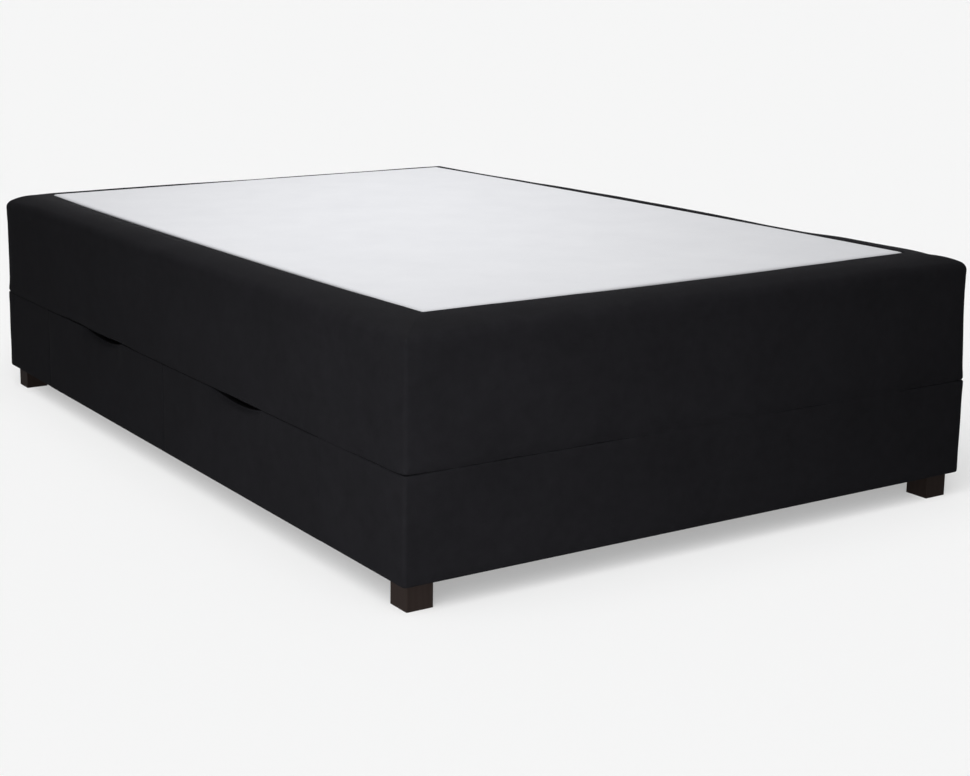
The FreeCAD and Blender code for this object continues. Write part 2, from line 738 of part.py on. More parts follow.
def spring_core_shape():
    """One block whose sides are rows of pocket arcs."""
    bulge = mm("pocket_bulge")
    half_x = mm(f"{core_x} - soft_gap") - bulge
    half_y = mm(f"{core_y} - soft_gap") - bulge
    low = mm(slat_top)
    corners = [Vector(sx * half_x, sy * half_y, low) for sx, sy in ((-1, -1), (1, -1), (1, 1), (-1, 1))]
    sides = (
        (corners[0], corners[1], Vector(0, -bulge, 0), POCKET_ROW_COUNT),
        (corners[1], corners[2], Vector(bulge, 0, 0), POCKET_COLUMN_COUNT),
        (corners[2], corners[3], Vector(0, bulge, 0), POCKET_ROW_COUNT),
        (corners[3], corners[0], Vector(-bulge, 0, 0), POCKET_COLUMN_COUNT),
    )
    arcs = []
    for start, end, out, count in sides:
        step = (end - start) / count
        for index in range(count):
            near = start + step * index
            arcs.append(Part.Arc(near, near + step / 2 + out, near + step).toShape())
    return Part.Face(Part.Wire(arcs)).extrude(Vector(0, 0, mm(f"{spring_top} - {slat_top}")))


node(shaped("springs", spring_core_shape()), "spring_core")
layer_x = (f"soft_gap - {core_x}", f"{core_x} - soft_gap")
layer_y = (f"soft_gap - {core_y}", f"{core_y} - soft_gap")
node(block("felt_sheet", layer_x, layer_y, (spring_top, felt_top)), "spring_felt")
node(block("foam_sheet", layer_x, layer_y, (felt_top, foam_top)), "comfort_foam")

# Crowned border. The same curve of levels makes the cover's outside, its inside and,
# drawn in by a small gap, the edge foam under it.

side_height_shares = (0.3, 0.52, 0.8)
side_inset_shares = (0, 0, 1)
lip_shares = ((0.14, 0.45), (0.45, 0.82))
crown_shares = (0.3, 0.52, 0.76, 1)


def crown_height(inset):
    """Height of the crowned border at a distance in from the bed's face."""
    left = 1 - inset / mm("border")
    return mm(bed_top) - mm("crown_drop") * left * left


def level_corner(inset):
    """The plan corner gets tighter from the bed's face to the panel."""
    share = inset / mm("border")
    return mm("cover_corner") * (1 - share) + mm("crown_corner") * share


def lip_levels(start, down):
    """Round the lip from the upright side on to the crown."""
    end = mm("lip_round")
    low = crown_height(0) - end
    levels = [(start, low - down)]
    for inset_share, rise_share in lip_shares:
        inset = start + (end - start) * inset_share
        levels.append((inset, low - down + (crown_height(end) - low) * rise_share))
    levels.append((end, crown_height(end) - down))
    return levels


def crown_levels(down):
    first = mm("lip_round")
    reach = mm("border") - first
    insets = [first + reach * share for share in crown_shares]
    return [(inset, crown_height(inset) - down) for inset in insets]


def cover_outside():
    """The upper section from its rolled bottom edge to the top of its crown."""
    low = mm(base_top)
    edge = mm("upper_edge")
    levels = [(inset, low + rise) for inset, rise in quarter_round(edge)]
    foot = low + edge
    head = crown_height(0) - mm("lip_round")
    for height_share, inset_share in zip(side_height_shares, side_inset_shares):
        levels.append((mm("waist_set") * inset_share, foot + (head - foot) * height_share))
    levels += lip_levels(mm("lip_set"), 0) + crown_levels(0)
    return stack([(inset, level_corner(inset), height) for inset, height in levels])


def cover_inside(gap, low):
    """The space inside the padding, drawn in by gap, from low up to under the crown."""
    wall = mm("padding") + gap
    down = mm("padding") + gap
    levels = [(wall, low), (wall, crown_height(0) - mm("lip_round") - down / 2)]
    levels += [(max(inset, wall + gap), height) for inset, height in crown_levels(down)]
    return stack([(inset, level_corner(inset), height) for inset, height in levels])


def upper_cover_shape():
    outside = cover_outside()
    inside = cover_inside(0, mm(upper_low))
    opening = bowed_slab(mm("border"), mm(f"{bed_top} - padding - over"), mm(f"{bed_top} + over"))
    window = box_shape((f"-{turn_x}", turn_x), (f"-{turn_y}", turn_y), (base_high, f"{upper_low} + over"))
    rails = box_shape((f"-{board_x}", board_x), (f"-{board_y}", board_y), (upper_low, slat_top))
    return outside.cut([inside, opening, window, rails])


upper_skin = shaped("upper_skin", upper_cover_shape())
cover_holes = dowel_rods("upper_cover_hole_foot_end", "-", "dowel_play", DOWEL_LOW, DOWEL_HIGH)
cover_holes += dowel_rods("upper_cover_hole_head_end", "", "dowel_play", DOWEL_LOW, DOWEL_HIGH)
node(cut("upper_skin_holed", upper_skin, cover_holes), "upper_cover")

foam = cover_inside(mm("soft_gap"), mm(slat_top))
well = box_shape((f"-{core_x}", core_x), (f"-{core_y}", core_y), (upper_low, bed_top))
node(shaped("edge_foam_ring", foam.cut(well)), "edge_foam")

panel = bowed_slab(mm("border + soft_gap"), mm(f"{bed_top} - padding"), mm(bed_top))
node(shaped("white_panel", panel), "top_panel")

node(block("upper_cloth", (f"-{cloth_x}", cloth_x), (f"-{cloth_y}", cloth_y),
           (f"{upper_low} - dust_cloth", upper_low)), "upper_dust_cloth")

# Every object has to be sound before anything is written

doc.recompute()
for piece in doc.Objects:
    bad = {"Invalid", "Error"} & set(piece.State)
    if bad:
        raise RuntimeError(f"{piece.Label}: {sorted(bad)}")
for piece in NODES:
    if piece.Shape.isNull() or not piece.Shape.isValid() or not piece.Shape.Solids:
        raise RuntimeError(f"{piece.Label}: no sound solid")

os.makedirs("parts", exist_ok=True)
for piece in NODES:
    piece.Shape.exportStep(f"parts/{piece.Label}.step")
print(len(NODES), "sub-parts written")
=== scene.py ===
# %% [markdown]
# # A storage box spring bed, dressed round its CAD frame
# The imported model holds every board, rail, runner and foot in its true place, in metres.
# This lesson loads it, gives each part a finish, and models what CAD only blocks out: the
# padded covers, the drawer fronts, the white top and the springs and foams under it.
# New pieces take their places from the frame's own boxes. Blender works in metres, and the
# sizes of a bed read best in millimetres, so MM turns one into the other.

# %% Load the frame
import math

import bmesh
import bpy
from mathutils import Matrix, Vector, noise


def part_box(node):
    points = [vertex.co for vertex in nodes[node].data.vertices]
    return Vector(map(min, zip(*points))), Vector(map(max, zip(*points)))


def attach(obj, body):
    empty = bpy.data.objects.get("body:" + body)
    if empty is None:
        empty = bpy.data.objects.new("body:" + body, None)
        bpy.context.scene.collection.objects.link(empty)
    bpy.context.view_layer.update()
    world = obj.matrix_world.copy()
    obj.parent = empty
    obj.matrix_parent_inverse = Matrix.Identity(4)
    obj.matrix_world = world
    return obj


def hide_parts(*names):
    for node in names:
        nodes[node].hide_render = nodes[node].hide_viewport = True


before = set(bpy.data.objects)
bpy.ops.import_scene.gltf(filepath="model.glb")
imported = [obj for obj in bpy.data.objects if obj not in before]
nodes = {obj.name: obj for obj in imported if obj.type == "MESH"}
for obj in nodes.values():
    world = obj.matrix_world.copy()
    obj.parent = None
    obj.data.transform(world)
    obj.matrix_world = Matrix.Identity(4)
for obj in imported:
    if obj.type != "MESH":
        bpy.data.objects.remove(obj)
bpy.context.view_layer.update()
MM = 0.001

# %% [markdown]
# ## Camera
# The picture was taken a little above the top, looking at one corner with both long lines
# running away. The lens, the place and the turn below come from matching the corners of the
# box and the feet. A lens shift slides the picture, because the bed doesn't stand in the
# middle of the frame: turning the camera instead would change how the lines run.

# %% Camera
IMAGE_WIDTH, IMAGE_HEIGHT = 970, 776
FOCAL_PIXELS = 1734.456
MIDDLE_PIXEL = (373.0, 312.886)
CAMERA_PLACE = (-2.216765, -3.414829, 1.114989)
CAMERA_PITCH, CAMERA_YAW, CAMERA_ROLL = (math.radians(turn) for turn in (11.374, 58.956, 0.161))

lens = bpy.data.cameras.new("studio_camera")
lens.sensor_width = 36
lens.lens = FOCAL_PIXELS / IMAGE_WIDTH * lens.sensor_width
lens.shift_x = (IMAGE_WIDTH / 2 - MIDDLE_PIXEL[0]) / IMAGE_WIDTH
lens.shift_y = (MIDDLE_PIXEL[1] - IMAGE_HEIGHT / 2) / IMAGE_WIDTH
lens.clip_end = 400
camera = bpy.data.objects.new("studio_camera", lens)
camera.matrix_world = (
    Matrix.Translation(CAMERA_PLACE)
    @ Matrix.Rotation(CAMERA_YAW - math.pi / 2, 4, "Z")
    @ Matrix.Rotation(math.pi / 2 - CAMERA_PITCH, 4, "X")
    @ Matrix.Rotation(CAMERA_ROLL, 4, "Z")
)
bpy.context.scene.collection.objects.link(camera)
bpy.context.scene.camera = camera
print("lens", round(lens.lens, 2), "shift", round(lens.shift_x, 4), round(lens.shift_y, 4))

# %% [markdown]
# ## A small language for shaders
# A finish is a tree of nodes. Writing it as sums and products reads better than wiring, so
# one class wraps a socket: a sum, difference or product with it adds a Math node, and its
# `node` method makes any other node from its type, its settings and what goes into it.


# %% Sockets that do sums
class Wire:
    """A node's output socket in a material; arithmetic on it adds Math nodes."""

    def __init__(self, tree, socket=None):
        self.tree = tree
        self.socket = socket

    def node(self, kind, settings=None, inputs=None, output=0):
        """Any node, from its type, its settings, and the values or links of its sockets."""
        made = self.tree.nodes.new(kind)
        for name, value in (settings or {}).items():
            setattr(made, name, value)
        for name, value in (inputs or {}).items():
            if isinstance(value, Wire):
                self.tree.links.new(value.socket, made.inputs[name])
            else:
                made.inputs[name].default_value = value
        return Wire(self.tree, made.outputs[output])

    def sum(self, operation, first, second):
        return self.node("ShaderNodeMath", {"operation": operation}, {0: first, 1: second})

    def sine(self):
        return self.sum("SINE", self, 0.0)

    def __add__(self, other):
        return self.sum("ADD", self, other)

    def __sub__(self, other):
        return self.sum("SUBTRACT", self, other)

    def __mul__(self, other):
        return self.sum("MULTIPLY", self, other)


def new_finish(name):
    """An empty material with its shader, and a wire to grow its nodes from."""
    finish = bpy.data.materials.new(name)
    finish.use_nodes = True
    return finish, Wire(finish.node_tree)


def settle(finish, **sockets):
    """Sets or links the shader's own sockets, named with _ for a space."""
    shader = finish.node_tree.nodes["Principled BSDF"]
    for name, value in sockets.items():
        socket = shader.inputs[name.replace("_", " ")]
        if isinstance(value, Wire):
            finish.node_tree.links.new(value.socket, socket)
        else:
            socket.default_value = value
    print(finish.name, "has", len(finish.node_tree.nodes), "nodes")


def places(wire, stretch=(1, 1, 1)):
    """Object coordinates in metres, stretched by what is asked."""
    spot = wire.node("ShaderNodeTexCoord", output="Object")
    return wire.node("ShaderNodeMapping", inputs={"Vector": spot, "Scale": stretch})


def axes(wire, spot):
    """The three coordinates of a spot, one wire each."""
    parts = wire.node("ShaderNodeSeparateXYZ", inputs={0: spot})
    return [Wire(wire.tree, part) for part in parts.socket.node.outputs]


def speckle(wire, spot, scale, detail=3.0, rough=0.5):
    """Soft noise from 0 to 1; scale is in spots to a metre."""
    sockets = {"Vector": spot, "Scale": scale, "Detail": detail, "Roughness": rough}
    return wire.node("ShaderNodeTexNoise", inputs=sockets)


def blend_colours(wire, share, first, second):
    """One colour running into the other as share goes from 0 to 1."""
    first, second = (tint if isinstance(tint, Wire) else (*tint, 1) for tint in (first, second))
    return wire.node("ShaderNodeMix", {"data_type": "RGBA"}, {"Factor": share, 6: first, 7: second}, 2)


def stretched(wire, value, low, high):
    """The part of a noise between low and high, opened out to run from 0 to 1."""
    return wire.node("ShaderNodeMapRange", inputs={"Value": value, "From Min": low, "From Max": high})


def bumped(wire, height, depth):
    """A normal tilted by a height from 0 to 1 that stands depth metres proud."""
    return wire.node("ShaderNodeBump", inputs={"Strength": 1.0, "Distance": depth, "Height": height})


print("shader helpers ready")

# %% [markdown]
# ## Black upholstery
# The cover is a smooth black microfibre with a short nap. Close up it has a fine weave under
# the fibres, and brushing leaves faint lighter and darker patches. Black cloth in a bright
# room is never quite black, so the colour is a cool dark grey. The nap swallows nearly all
# gloss, so the highlight is turned down almost to nothing. A picture of cloth would repeat
# and stretch at the corners. Noise and sine waves in the object's own space do neither.

# %% Black upholstery
NAP_DARK, NAP_LIGHT = (0.01, 0.0099, 0.011), (0.0166, 0.0163, 0.0182)
THREADS_PER_METRE, THREAD_HEIGHT = 1150, 0.16
upholstery, wire = new_finish("black_microfibre")
spot = places(wire)
brushed = speckle(wire, spot, 6, 4, 0.6)
patches = speckle(wire, spot, 42, 3)
fibres = speckle(wire, spot, 620, 2)
threads = 0
for axis in axes(wire, spot):
    threads = (axis * (THREADS_PER_METRE * 2 * math.pi)).sine() * THREAD_HEIGHT + threads
shade = stretched(wire, brushed * 0.45 + patches * 0.3 + fibres * 0.25, 0.3, 0.7)
settle(
    upholstery,
    Base_Color=blend_colours(wire, shade, NAP_DARK, NAP_LIGHT),
    Roughness=shade * 0.1 + 0.82,
    Specular_IOR_Level=0.015,
    Normal=bumped(wire, threads * 0.35 + fibres * 0.6 + patches * 0.5, 0.4 * MM),
)

# %% [markdown]
# ## White top cloth
# The top is a white non-woven cloth, pressed in a grid of small dots that hold its fibres
# together. The mattress hides it, so it is left plain. The dots are the product of two sine
# waves, one along the bed and one across, and soft clouds make the cloth uneven.

# %% White top cloth
DOTS_PER_METRE = 380
WHITE_DARK, WHITE_LIGHT = (0.797, 0.803, 0.832), (0.838, 0.844, 0.871)
white_cloth, wire = new_finish("white_nonwoven")
spot = places(wire)
across, along = axes(wire, spot)[:2]
dots = (across * (DOTS_PER_METRE * math.pi)).sine() * (along * (DOTS_PER_METRE * math.pi)).sine()
clouds = speckle(wire, spot, 9, 4, 0.6)
fibres = speckle(wire, spot, 350, 3)
shade = stretched(wire, clouds * 0.7 + fibres * 0.3, 0.3, 0.7)
settle(
    white_cloth,
    Base_Color=blend_colours(wire, shade, WHITE_DARK, WHITE_LIGHT),
    Roughness=fibres * 0.1 + 0.8,
    Specular_IOR_Level=0.25,
    Normal=bumped(wire, dots * 0.3 + fibres * 0.4 + clouds * 0.5, 0.25 * MM),
)

# %% [markdown]
# ## Wood
# Four woods are in the bed: dark stained beech in the feet, raw pine in the rails and slats,
# board faced with pale wood in the box and drawers, and hardboard in the drawer bottoms. They
# could be four materials, but all are one recipe: noise squeezed along the grain makes long
# streaks, a wave warped by noise makes the year rings, and short dark dashes make the pores.
# Only the direction, scale, colours and gloss differ.


# %% Wood recipe
def wood_finish(name, grain, light, dark, roughness, ring_scale=26, depth=0.15 * MM, shine=0.4):
    """Streaks and rings along the axis where grain is small."""
    finish, wire = new_finish(name)
    along = places(wire, grain)
    warp = speckle(wire, along, 5, 3, 0.6)
    rings = wire.node(
        "ShaderNodeTexWave",
        {"wave_type": "BANDS", "bands_direction": "DIAGONAL"},
        {"Vector": along, "Scale": ring_scale, "Distortion": 9.0, "Detail": 3.0, "Detail Scale": 0.6},
        1,
    )
    streaks = speckle(wire, along, 140, 4, 0.65)
    pores = stretched(wire, speckle(wire, along, 520, 2), 0.62, 0.7)
    shade = stretched(wire, rings * 0.4 + streaks * 0.35 + warp * 0.25, 0.2, 0.75)
    tone = blend_colours(wire, shade, dark, light)
    settle(
        finish,
        Base_Color=blend_colours(wire, pores * 0.5, tone, dark),
        Roughness=pores * 0.12 + (roughness - 0.05) + shade * 0.08,
        Specular_IOR_Level=shine,
        Normal=bumped(wire, streaks * 0.5 - pores * 0.7, depth),
    )
    return finish


GRAIN_SHARE = 0.06
ALONG_X = (GRAIN_SHARE, 1, 1)
ALONG_Y = (1, GRAIN_SHARE, 1)
ALONG_Z = (1, 1, GRAIN_SHARE)
FOOT_LIGHT, FOOT_DARK = (0.0282, 0.021, 0.0182), (0.0245, 0.018, 0.0155)
PINE_LIGHT, PINE_DARK = (0.62, 0.45, 0.26), (0.43, 0.27, 0.13)
BOARD_LIGHT, BOARD_DARK = (0.7, 0.64, 0.53), (0.6, 0.53, 0.42)
HARDBOARD_LIGHT, HARDBOARD_DARK = (0.5, 0.4, 0.28), (0.42, 0.32, 0.2)
foot_wood = wood_finish(
    "stained_beech", ALONG_Z, FOOT_LIGHT, FOOT_DARK, roughness=0.6, ring_scale=40, shine=0.02
)
pine_x, pine_y, pine_z = (
    wood_finish(f"pine_along_{axis}", grain, PINE_LIGHT, PINE_DARK, roughness=0.6)
    for axis, grain in (("x", ALONG_X), ("y", ALONG_Y), ("z", ALONG_Z))
)
board_x, board_y = (
    wood_finish(f"faced_board_along_{axis}", grain, BOARD_LIGHT, BOARD_DARK, roughness=0.42,
                ring_scale=14, depth=0.05 * MM)
    for axis, grain in (("x", ALONG_X), ("y", ALONG_Y))
)
hardboard = wood_finish("pressed_hardboard", ALONG_X, HARDBOARD_LIGHT, HARDBOARD_DARK,
                        roughness=0.35, ring_scale=6, depth=0.04 * MM)

# %% [markdown]
# ## Zinc, foam, felt and lining cloths
# Runners and bolts are steel with bright zinc: metal with fine rolling scratches and faint
# cloudy crystals. Noise squeezed along one axis draws the scratches.

# %% Zinc steel
ZINC_DARK, ZINC_LIGHT = (0.5, 0.51, 0.53), (0.64, 0.65, 0.66)
zinc, wire = new_finish("zinc_steel")
clouds = speckle(wire, places(wire), 60, 3)
scratches = speckle(wire, places(wire, (0.02, 1, 1)), 1800, 2)
settle(
    zinc,
    Base_Color=blend_colours(wire, clouds, ZINC_DARK, ZINC_LIGHT),
    Metallic=1.0,
    Roughness=clouds * 0.15 + scratches * 0.15 + 0.2,
    Normal=bumped(wire, scratches, 0.03 * MM),
)

# %% [markdown]
# Foam is matt and full of small cells. Felt is pressed from mixed grey fibres. The pocket
# cloth and the black lining are thin non-wovens. From a little way off all four are patches
# with something finer over them, so one recipe makes them, and a table holds what differs:
# the light and the dark colour, the patches and the fibres to a metre, and the depth.


# %% Cloths and foam recipe
def fibre_finish(name, light, dark, coarse, fine, depth):
    """Matt material with patches at a coarse scale and fibres or cells at a fine one."""
    finish, wire = new_finish(name)
    spot = places(wire)
    patches = speckle(wire, spot, coarse, 3)
    cells = speckle(wire, spot, fine, 2, 0.6)
    shade = stretched(wire, patches * 0.5 + cells * 0.5, 0.3, 0.7)
    settle(
        finish,
        Base_Color=blend_colours(wire, shade, dark, light),
        Roughness=cells * 0.1 + 0.85,
        Specular_IOR_Level=0.2,
        Normal=bumped(wire, cells, depth),
    )
    return finish


FIBRES = {
    "cut_foam": ((0.86, 0.8, 0.6), (0.74, 0.66, 0.45), 18, 700, 0.6 * MM),
    "pocket_nonwoven": ((0.82, 0.83, 0.84), (0.7, 0.71, 0.73), 40, 420, 0.3 * MM),
    "pressed_felt": ((0.24, 0.25, 0.26), (0.1, 0.1, 0.11), 90, 600, 0.6 * MM),
    "black_lining": ((0.014, 0.014, 0.014), (0.007, 0.007, 0.007), 60, 480, 0.2 * MM),
}
foam, pocket_cloth, felt, lining = (fibre_finish(name, *values) for name, values in FIBRES.items())

# %% [markdown]
# ## Finishes on the CAD parts
# A CAD part keeps its mesh and only gets a better material. The grain has to run the long
# way of each part, so the parts are listed by the way they lie.


# %% Finishes on the CAD parts
def coat(piece, finish):
    """One finish all over a piece."""
    piece.data.materials.clear()
    piece.data.materials.append(finish)


CAD_FINISHES = {
    foot_wood: [f"foot_{end}_end_{side}" for end in ("foot", "head") for side in ("left", "right")],
    pine_x: ["upper_foot_end_rail", "upper_head_end_rail", "upper_slats"],
    pine_y: ["upper_left_rail", "upper_right_rail", "upper_slat_ledges", "upper_centre_beam",
             "base_top_rails", "base_bottom_rails", "foot_blocks"],
    pine_z: ["locating_dowels", "base_cleats"],
    board_x: ["base_foot_end_board", "base_head_end_board", "base_centre_divider",
              "base_foot_end_divider", "base_head_end_divider",
              *(f"drawer_{n}_{side}_side" for n in (1, 2) for side in ("left", "right"))],
    board_y: ["base_side_board", "base_foot_end_short_board", "base_head_end_short_board",
              "base_bay_backs",
              *(f"drawer_{n}_{part}" for n in (1, 2) for part in ("front_board", "back"))],
    hardboard: ["drawer_1_bottom", "drawer_2_bottom"],
    zinc: ["foot_bolts", *(name for name in nodes if "runner" in name)],
}
for finish, names in CAD_FINISHES.items():
    for name in names:
        coat(nodes[name], finish)
print("coated", sum(len(names) for names in CAD_FINISHES.values()), "CAD parts")

# %% [markdown]
# ## How a cover is built
# A fitted cover is one section, carried all the way round a box. A bevelled box would give it
# the same edge everywhere, so it is made as a ring of points laid round the bed and extruded
# again and again: under the edge, up the side, over the lip and across the border. Each new
# ring is moved to its own size and height. The circle primitive gives the first ring, and a
# number on each point remembers its place round the bed.

# %% Ring helpers
CORNER_STEPS = 6
LONG_STEPS, SHORT_STEPS = 76, 52


def outline(half_x, half_y, radius, bow_x=0.0, bow_y=0.0):
    """Points anticlockwise round a box with round corners; the sides may bow outward."""
    points = []
    for corner, (side_x, side_y) in enumerate(((1, 1), (-1, 1), (-1, -1), (1, -1))):
        middle = Vector((side_x * (half_x - radius), side_y * (half_y - radius)))
        for step in range(CORNER_STEPS + 1):
            angle = math.pi / 2 * (corner + step / CORNER_STEPS)
            points.append(middle + Vector((math.cos(angle), math.sin(angle))) * radius)
        along = Vector(((-1, 0), (0, -1), (1, 0), (0, 1))[corner])
        out = Vector(((0, 1), (-1, 0), (0, -1), (1, 0))[corner])
        steps = (SHORT_STEPS, LONG_STEPS)[corner % 2]
        length = 2 * ((half_x, half_y)[corner % 2] - radius)
        bow = (bow_y, bow_x)[corner % 2]
        start = points[-1].copy()
        for step in range(1, steps):
            share = step / steps
            points.append(start + along * length * share + out * bow * (1 - (2 * share - 1) ** 2))
    return points


def newest(name, size=(1, 1, 1)):
    """The primitive just added: named, stretched, and with its place kept in its mesh."""
    piece = bpy.context.object
    piece.name = piece.data.name = name
    piece.scale = size
    bpy.ops.object.transform_apply(location=True, rotation=True, scale=True)
    return piece


def start_ring(name, points, height, closed=True):
    """The first ring of a cover, or an open line of points, in edit mode."""
    bpy.ops.mesh.primitive_circle_add(vertices=len(points))
    piece = newest(name)
    bpy.ops.object.mode_set(mode="EDIT")
    net = bmesh.from_edit_mesh(piece.data)
    turn = net.verts.layers.int.new("turn")
    for place, point in enumerate(net.verts):
        point[turn] = place
    if not closed:
        bpy.ops.mesh.select_all(action="DESELECT")
        net = bmesh.from_edit_mesh(piece.data)
        turn = net.verts.layers.int["turn"]
        for edge in net.edges:
            edge.select = {point[turn] for point in edge.verts} == {0, len(points) - 1}
        bpy.ops.mesh.delete(type="EDGE")
    bpy.ops.mesh.select_all(action="SELECT")
    lay_ring(piece, points, height)
    return piece


def lay_ring(piece, points, height):
    """Moves the selected ring to its points, at a height."""
    net = bmesh.from_edit_mesh(piece.data)
    turn = net.verts.layers.int["turn"]
    for point in net.verts:
        if point.select:
            point.co = (*points[point[turn]], height)
    bmesh.update_edit_mesh(piece.data)


def grow_ring(piece, points, height):
    """Extrudes the last ring and lays the new one."""
    bpy.ops.mesh.extrude_edges_move()
    lay_ring(piece, points, height)


def face_outward():
    """Turns every face of the piece in edit mode outward, and leaves it smooth."""
    bpy.ops.mesh.select_all(action="SELECT")
    bpy.ops.mesh.normals_make_consistent(inside=False)
    bpy.ops.object.mode_set(mode="OBJECT")
    bpy.ops.object.shade_smooth()


def carry_round(name, ring_of, cuts, closed=True):
    """A cover from its section. A cut says how far in its ring lies and how high, in mm.
    The last ring is welded to the first, and the ends of an open cover are filled."""
    inset, height = cuts[0]
    piece = start_ring(name, ring_of(inset * MM), height * MM, closed)
    for inset, height in cuts[1:] + cuts[:1]:
        grow_ring(piece, ring_of(inset * MM), height * MM)
    bpy.ops.mesh.select_all(action="SELECT")
    bpy.ops.mesh.remove_doubles(threshold=0.00002)
    if not closed:
        bpy.ops.mesh.fill_holes(sides=0)
    face_outward()
    print(name, "has", len(cuts), "rings")
    return piece


def apply_modifier(piece, kind, **settings):
    """Adds a modifier and applies it at once."""
    bpy.context.view_layer.objects.active = piece
    change = piece.modifiers.new(kind.lower(), kind)
    for name, value in settings.items():
        setattr(change, name, value)
    bpy.ops.object.modifier_apply(modifier=change.name)


def put_on(piece, body, finish, slot, *stands_for):
    """Finish and body of a new piece, and the CAD parts that it stands for. The slot is not used."""
    coat(piece, finish)
    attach(piece, body)
    if stands_for:
        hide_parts(*stands_for)
    print(piece.name, "has", len(piece.data.polygons), "faces")


def soft_noise(place, scale, seed=0.0):
    """Smooth noise from -1 to 1 that never changes between runs."""
    return noise.noise(Vector(place) * scale + Vector((seed, seed, seed)))


# %% [markdown]
# Padded cloth is swollen by a short simulation. Moving points by noise alone would miss how
# tight cloth draws between its seams. The points of the seams and of the wall against the
# boards are held, the air inside pushes with a small pressure, gravity is off, and after
# twenty frames the cloth has found its own roundness. How far a point may go is capped,
# because a bed's wadding is thin. The result is kept in the mesh.


# %% Swelling by cloth simulation
CLOTH_FRAMES, CLOTH_PRESSURE = 20, 4.0


def swell(piece, held, cap):
    """Runs Cloth on a piece, with the held points pinned, and keeps the capped result."""
    scene = bpy.context.scene
    pins = piece.vertex_groups.new(name="held")
    pins.add([point.index for point in piece.data.vertices if held(point.co)], 1.0, "REPLACE")
    change = piece.modifiers.new("cloth", "CLOTH")
    cloth = change.settings
    cloth.vertex_group_mass = pins.name
    cloth.effector_weights.gravity = 0
    cloth.use_pressure = True
    cloth.uniform_pressure_force = CLOTH_PRESSURE
    cloth.quality = 4
    change.collision_settings.use_collision = False
    for step in range(1, CLOTH_FRAMES + 1):
        scene.frame_set(step)
    swollen = piece.evaluated_get(bpy.context.evaluated_depsgraph_get()).data
    moves = [after.co - before.co for after, before in zip(swollen.vertices, piece.data.vertices)]
    piece.modifiers.remove(change)
    piece.vertex_groups.remove(pins)
    scene.frame_set(1)
    for point, move in zip(piece.data.vertices, moves):
        if move.length > 0:
            point.co += move * (cap * math.tanh(move.length / cap) / move.length)
    piece.data.update()
    longest = max(move.length for move in moves)
    print(f"{piece.name} swelled by {longest / MM:.1f} mm, kept within {cap / MM:.1f} mm")


# %% [markdown]
# ## The upper cover
# The upper box wears one black cover: it is stapled under the rails, comes up over ten
# millimetres of wadding, turns over a soft lip and runs in to the white top, where the two
# are sewn together. The lists of cuts below are that section: how far each ring lies inside
# the outside of the bed, and how high. The lip is an arc that meets the slope of the border,
# so its rings are worked out. The others were set by the outline in the picture.

# %% Upper cover
low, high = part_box("upper_cover")
HALF_X, HALF_Y = high.x, high.y
SEAM_HEIGHT, TOP_HEIGHT = low.z, high.z
CORNER_RADIUS = 9 * MM
PANEL_CORNER = 3 * MM
BORDER = 98 * MM
BOW_LONG, BOW_SHORT = 14 * MM, 6 * MM
CROWN_DROP, CROWN_POWER = 27 * MM, 2.6
LIP_START, LIP_END = 1 * MM, 11 * MM
WADDING = 10 * MM
TURN_IN = 50 * MM


def crown(inset):
    """Height of the border at a distance in from the outside."""
    return TOP_HEIGHT - CROWN_DROP * (1 - inset / BORDER) ** CROWN_POWER


def cover_ring(inset):
    """The cover's ring at a distance in: corners tighten and the inner edge bows outward."""
    share = max(0.0, (inset - LIP_END) / (BORDER - LIP_END))
    radius = max(CORNER_RADIUS - inset / 2, PANEL_CORNER)
    return outline(HALF_X - inset, HALF_Y - inset, radius, BOW_LONG * share, BOW_SHORT * share)


side_cuts = [
    (10, 255.2), (6.5, 255.3), (3.2, 256.3), (1.2, 258.2), (0.3, 261.2), (0, 267), (0, 284), (0, 303),
    (0, 322), (0, 341), (0, 360), (0, 377), (0, 393), (0, 408), (0, 421), (0, 433), (0.1, 443),
    (0.2, 452), (0.4, 460), (0.6, 467), (0.9, 474),
]
LIP_TURN = math.pi / 2 - math.atan(
    CROWN_POWER * CROWN_DROP / BORDER * (1 - LIP_END / BORDER) ** (CROWN_POWER - 1)
)
LIP_RADIUS = (LIP_END - LIP_START) / (1 - math.cos(LIP_TURN))
LIP_STEPS = 6
lip_cuts = [
    ((LIP_END + LIP_RADIUS * (math.cos(LIP_TURN) - math.cos(turn))) / MM,
     (crown(LIP_END) + LIP_RADIUS * (math.sin(turn) - math.sin(LIP_TURN))) / MM)
    for turn in (LIP_TURN * step / LIP_STEPS for step in range(LIP_STEPS + 1))
]
crown_cuts = [(inset, crown(inset * MM) / MM) for inset in (18, 27, 37, 48, 59, 70, 79, 86)]
edge_cuts = [(91, 519.3), (94.5, 518.4), (96.8, 517.1), (98.0, 515.2), (98.3, 513), (98.3, 510.2)]
WALL = WADDING / MM + 0.1
inside_cuts = [(inset, crown(inset * MM) / MM - WALL) for inset in (80, 55, 30, 18)]
inside_cuts += [(12, 484), (WALL, 475), (WALL, 258.0), (TURN_IN / MM, 258.0)]
cover_cuts = [(TURN_IN / MM, 255.2)] + side_cuts + lip_cuts + crown_cuts + edge_cuts + inside_cuts
upper_cover = carry_round("upholstered_upper_cover", cover_ring, cover_cuts)

# %% [markdown]
# Cloth pulled over wadding is never ruled straight. Between the corners the lip stands a few
# millimetres higher, because the cloth is drawn down hardest at the corners, and it wanders by
# a slow noise of about a quarter metre. The whole top stands a little higher toward the far
# right, and the border of the two far sides is fuller in places. The seam with the white top
# moves with the top alone, so the edges still meet.

